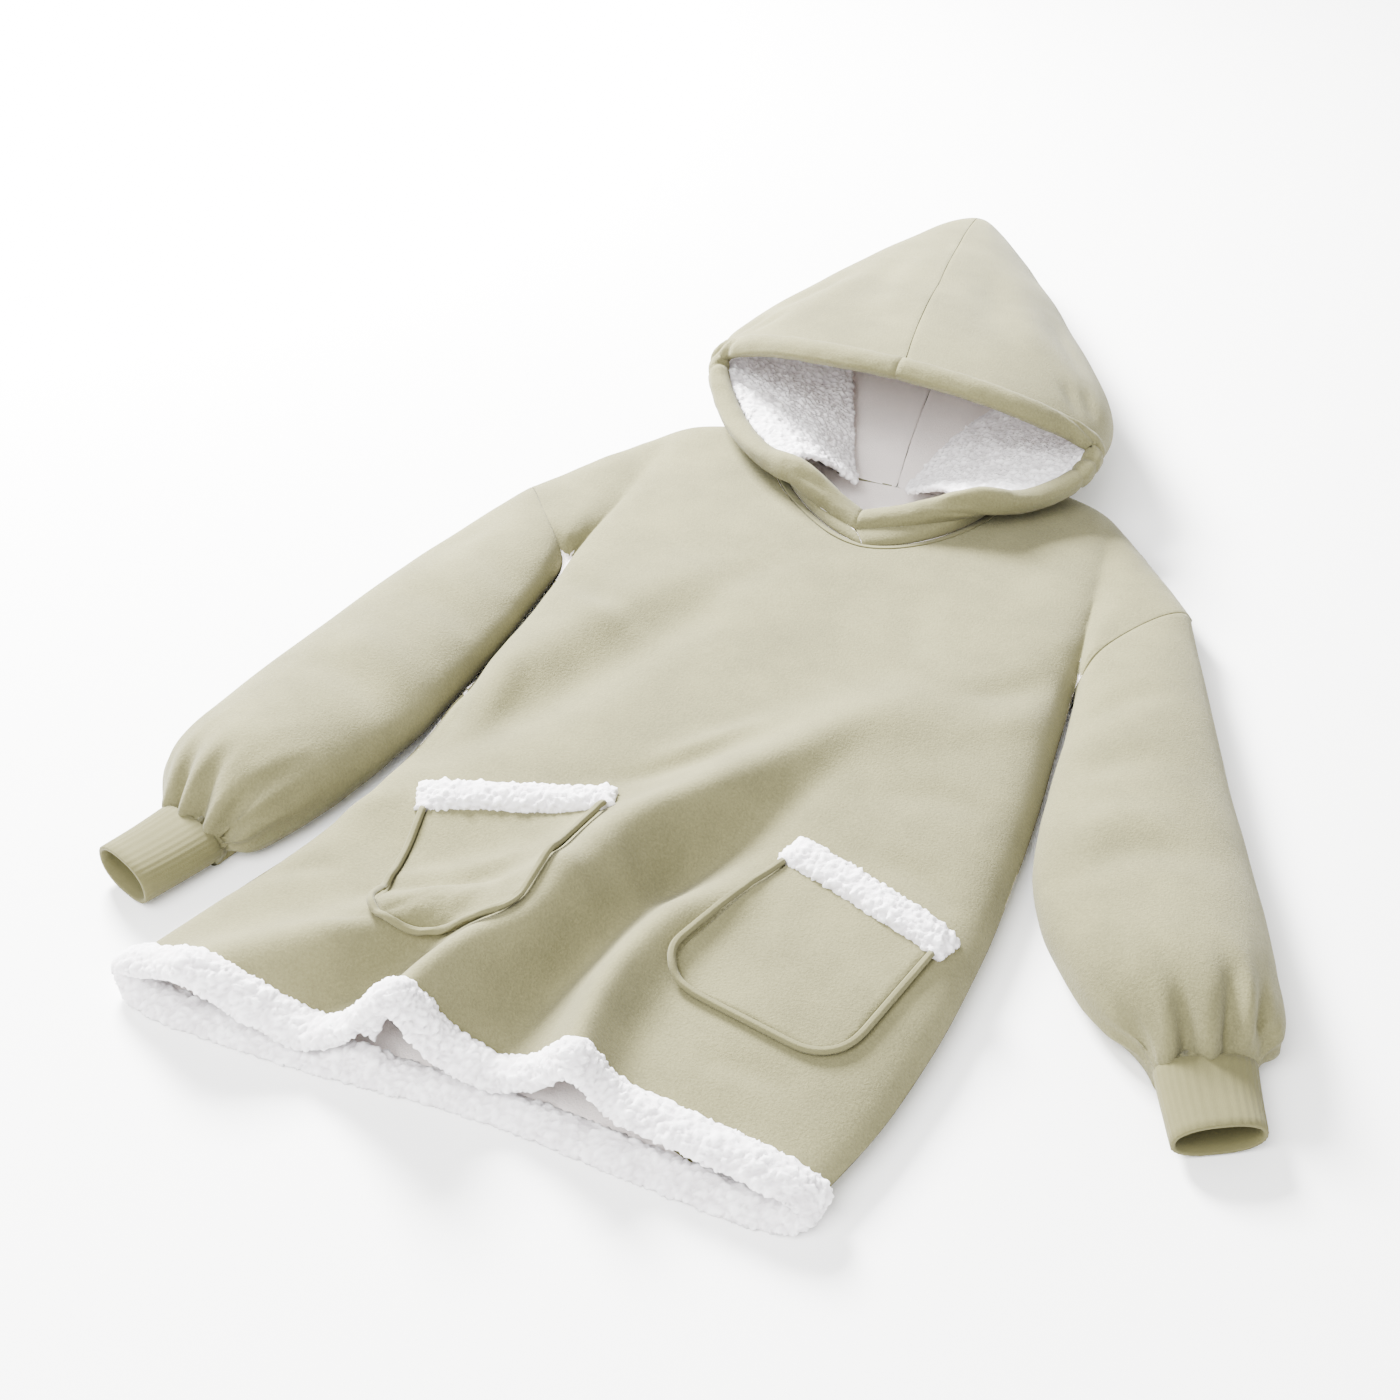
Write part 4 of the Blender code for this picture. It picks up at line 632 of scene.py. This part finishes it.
def tufts(piece, share=1.0):
    """Raise the curls of the sherpa over a piece, and store the mask for the painted shade in the
    crevices between them.
    """
    size = settings().tuft_size
    co, normal = read(piece.data)
    rise = np.empty(len(co))
    for k, point in enumerate(co):
        place = Vector(point) / size
        wobble = noise.noise_vector(place * 0.8) * 0.6
        distances, _ = noise.voronoi(place + wobble)
        rise[k] = (distances[1] - distances[0]) ** 0.6 - 0.45
    rise += soft_noise(co, size * 0.38, 0.34) + soft_noise(co, size * 2.6, 0.25)
    moved = co + normal * (rise * settings().tuft_height * share)[:, None]
    moved[:, 2] = np.maximum(moved[:, 2], 0.0)
    # Mask for the painted crevice shade: 0 deep between the curls, 1 on their tops
    crevice_mix = piece.data.attributes.new("pile_shade_mix", "FLOAT", "POINT")
    crevice_mix.data.foreach_set("value", np.clip((rise + 0.55) / 0.75, 0.0, 1.0))
    write(piece.data, moved)


class HOODIE_OT_body(bpy.types.Operator):
    """Make the front and back panels"""

    bl_idname = "hoodie.body"
    bl_label = "Body"

    def execute(self, context):
        front = fine_copy("body_front", 3, folded=lambda co: np.ones(len(co), dtype=bool))
        hollow = body_hollow()
        facing_out = lambda co, normal: away_from(hollow, co, normal)
        sculpt("body_front", front, facing_out)
        line_inside(front, facing_out, lining())
        wear(front, "body_front", fleece())
        back = fine_copy("body_back", 2)
        sculpt("body_back", back, facing_out)
        line_inside(back, facing_out, lining())
        wear(back, "body_back", fleece())
        return {"FINISHED"}


class HOODIE_OT_sleeves(bpy.types.Operator):
    """Make the puffed sleeves"""

    bl_idname = "hoodie.sleeves"
    bl_label = "Sleeves"

    def execute(self, context):
        for name in ("sleeve_right", "sleeve_left"):
            piece = fine_copy(name, 3)
            axis = in_frame(AXES[name])
            sculpt(name, piece, lambda co, normal: outward(co, normal, axis))
            wear(piece, name, fleece())
        return {"FINISHED"}


class HOODIE_OT_cuffs(bpy.types.Operator):
    """Make the ribbed cuffs"""

    bl_idname = "hoodie.cuffs"
    bl_label = "Cuffs"

    def execute(self, context):
        for name in ("cuff_right", "cuff_left"):
            piece = fine_copy(name, 2)
            wear(piece, name, rib_knit())
        return {"FINISHED"}


class HOODIE_OT_hood(bpy.types.Operator):
    """Make the hood's halves, its rolled rims and the binding at the neck"""

    bl_idname = "hoodie.hood"
    bl_label = "Hood"

    def execute(self, context):
        axis = in_frame(AXES["hood"])
        for side in ("right", "left"):
            name = "hood_" + side
            piece = fine_copy(name, 3)
            way = lambda co, normal: outward(co, normal, axis)
            sculpt(name, piece, way)
            line_inside(piece, way, lining())
            wear(piece, name, fleece())
            rim = fine_copy("hood_rim_" + side, 3)
            plump(rim, 0.0028)
            pleat(rim, "hood_rim_" + side)
            wear(rim, "hood_rim_" + side, fleece())
        piece = fine_copy("neck_binding", 3)
        wear(piece, "neck_binding", binding())
        return {"FINISHED"}


class HOODIE_OT_sherpa(bpy.types.Operator):
    """Make the sherpa hem and the facings inside the hood"""

    bl_idname = "hoodie.sherpa"
    bl_label = "Sherpa"

    def execute(self, context):
        hem = fine_copy("hem_band", 3, voxel=0.0021, folded=front_part)
        plump(hem, 0.0040)
        tufts(hem)
        wear(hem, "hem_band", sherpa())
        for side in ("right", "left"):
            name = "hood_facing_" + side
            piece = fine_copy(name, 2, voxel=0.0022)
            plump(piece, 0.0015)
            tufts(piece)
            wear(piece, name, sherpa())
        return {"FINISHED"}


def front_heights():
    """Functions for the height of the solid front and of the fine one."""
    found = []
    for piece in (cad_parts["body_front"], bpy.data.objects["body_front_cloth"]):
        world = piece.matrix_world
        points = [world @ v.co for v in piece.data.vertices]
        faces = [tuple(p.vertices) for p in piece.data.polygons]
        found.append(BVHTree.FromPolygons(points, faces))
    return found


def settle(piece, trees):
    """Lift a piece that lies on the front as much as the fine front departs from the solid."""
    solid, fine = trees
    co, _ = read(piece.data)
    down = Vector((0.0, 0.0, -1.0))
    for k, point in enumerate(co):
        start = Vector((point[0], point[1], 0.5))
        a = solid.ray_cast(start, down)[0]
        b = fine.ray_cast(start, down)[0]
        if a and b:
            co[k, 2] += b.z - a.z
    write(piece.data, co)


class HOODIE_OT_pockets(bpy.types.Operator):
    """Make the pockets with their piping and sherpa bands"""

    bl_idname = "hoodie.pockets"
    bl_label = "Pockets"

    def execute(self, context):
        trees = front_heights()
        for side in ("right", "left"):
            bag = fine_copy("pocket_" + side, 2)
            settle(bag, trees)
            sculpt("pocket_" + side, bag, lambda co, normal: np.where(normal[:, 2] > 0.3, 1.0, 0.0))
            wear(bag, "pocket_" + side, fleece())
            piping = fine_copy("pocket_piping_" + side, 2)
            settle(piping, trees)
            wear(piping, "pocket_piping_" + side, binding())
            trim = fine_copy("pocket_trim_" + side, 2, voxel=0.0018)
            settle(trim, trees)
            plump(trim, 0.0035)
            tufts(trim)
            wear(trim, "pocket_trim_" + side, sherpa())
        return {"FINISHED"}


def area_light(name, place, power, size, target=TARGET):
    """A soft lamp aimed at the garment."""
    lamp = bpy.data.lights.new(name, "AREA")
    lamp.energy = power
    lamp.size = size
    holder = bpy.data.objects.new(name, lamp)
    bpy.context.scene.collection.objects.link(holder)
    holder.location = place
    way = Vector(target) - Vector(place)
    holder.rotation_euler = way.to_track_quat("-Z", "Y").to_euler()


class HOODIE_OT_stage(bpy.types.Operator):
    """Make the floor, the lights and the camera"""

    bl_idname = "hoodie.stage"
    bl_label = "Stage"

    def execute(self, context):
        scene = bpy.context.scene
        mesh = bpy.data.meshes.new("floor")
        bm = bmesh.new()
        bmesh.ops.create_grid(bm, x_segments=1, y_segments=1, size=12.0,
                              matrix=Matrix.Translation((0.0, 0.0, -0.0005)))
        bm.to_mesh(mesh)
        bm.free()
        floor = bpy.data.objects.new("floor", mesh)
        scene.collection.objects.link(floor)
        paint = bpy.data.materials.new("pale_floor")
        paint.use_nodes = True
        shader = paint.node_tree.nodes["Principled BSDF"]
        node_input(shader, "Base Color", (0.97, 0.97, 0.96, 1.0))
        node_input(shader, "Roughness", 0.9)
        node_input(shader, "Specular IOR Level", 0.1)
        mesh.materials.append(paint)
        world = bpy.data.worlds.new("studio")
        scene.world = world
        world.use_nodes = True
        background = world.node_tree.nodes["Background"]
        node_input(background, "Color", (1.0, 1.0, 1.0, 1.0))
        node_input(background, "Strength", 1.7)
        area_light("key", (-2.1, 1.3, 1.8), 1150.0, 1.0)
        area_light("fill", (-0.5, -2.3, 2.5), 240.0, 2.2)
        lens = bpy.data.cameras.new("camera")
        lens.lens = LENS
        lens.sensor_width = SENSOR
        camera = bpy.data.objects.new("camera", lens)
        scene.collection.objects.link(camera)
        camera.location = Vector(TARGET) + Vector(CAMERA_OFFSET)
        camera.rotation_euler = (-Vector(CAMERA_OFFSET)).to_track_quat("-Z", "Y").to_euler()
        scene.camera = camera
        return {"FINISHED"}


OPERATORS = (HOODIE_OT_body, HOODIE_OT_sleeves, HOODIE_OT_cuffs, HOODIE_OT_hood,
             HOODIE_OT_sherpa, HOODIE_OT_pockets, HOODIE_OT_stage)


class HOODIE_PT_panel(bpy.types.Panel):
    """Buttons for the hoodie's pieces"""

    bl_label = "Hoodie"
    bl_space_type = "VIEW_3D"
    bl_region_type = "UI"
    bl_category = "Hoodie"

    def draw(self, context):
        for operator in OPERATORS:
            self.layout.operator(operator.bl_idname)
        for name in HoodieSettings.__annotations__:
            self.layout.prop(context.scene.hoodie, name)


CLASSES = (HoodieSettings,) + OPERATORS + (HOODIE_PT_panel,)


def register():
    for cls in CLASSES:
        bpy.utils.register_class(cls)
    bpy.types.Scene.hoodie = PointerProperty(type=HoodieSettings)


def unregister():
    del bpy.types.Scene.hoodie
    for cls in reversed(CLASSES):
        bpy.utils.unregister_class(cls)


def main():
    noise.seed_set(SEED)
    register()
    bpy.ops.hoodie.body()
    bpy.ops.hoodie.sleeves()
    bpy.ops.hoodie.cuffs()
    bpy.ops.hoodie.hood()
    bpy.ops.hoodie.sherpa()
    bpy.ops.hoodie.pockets()
    bpy.ops.hoodie.stage()


if __name__ == "__main__":
    main()
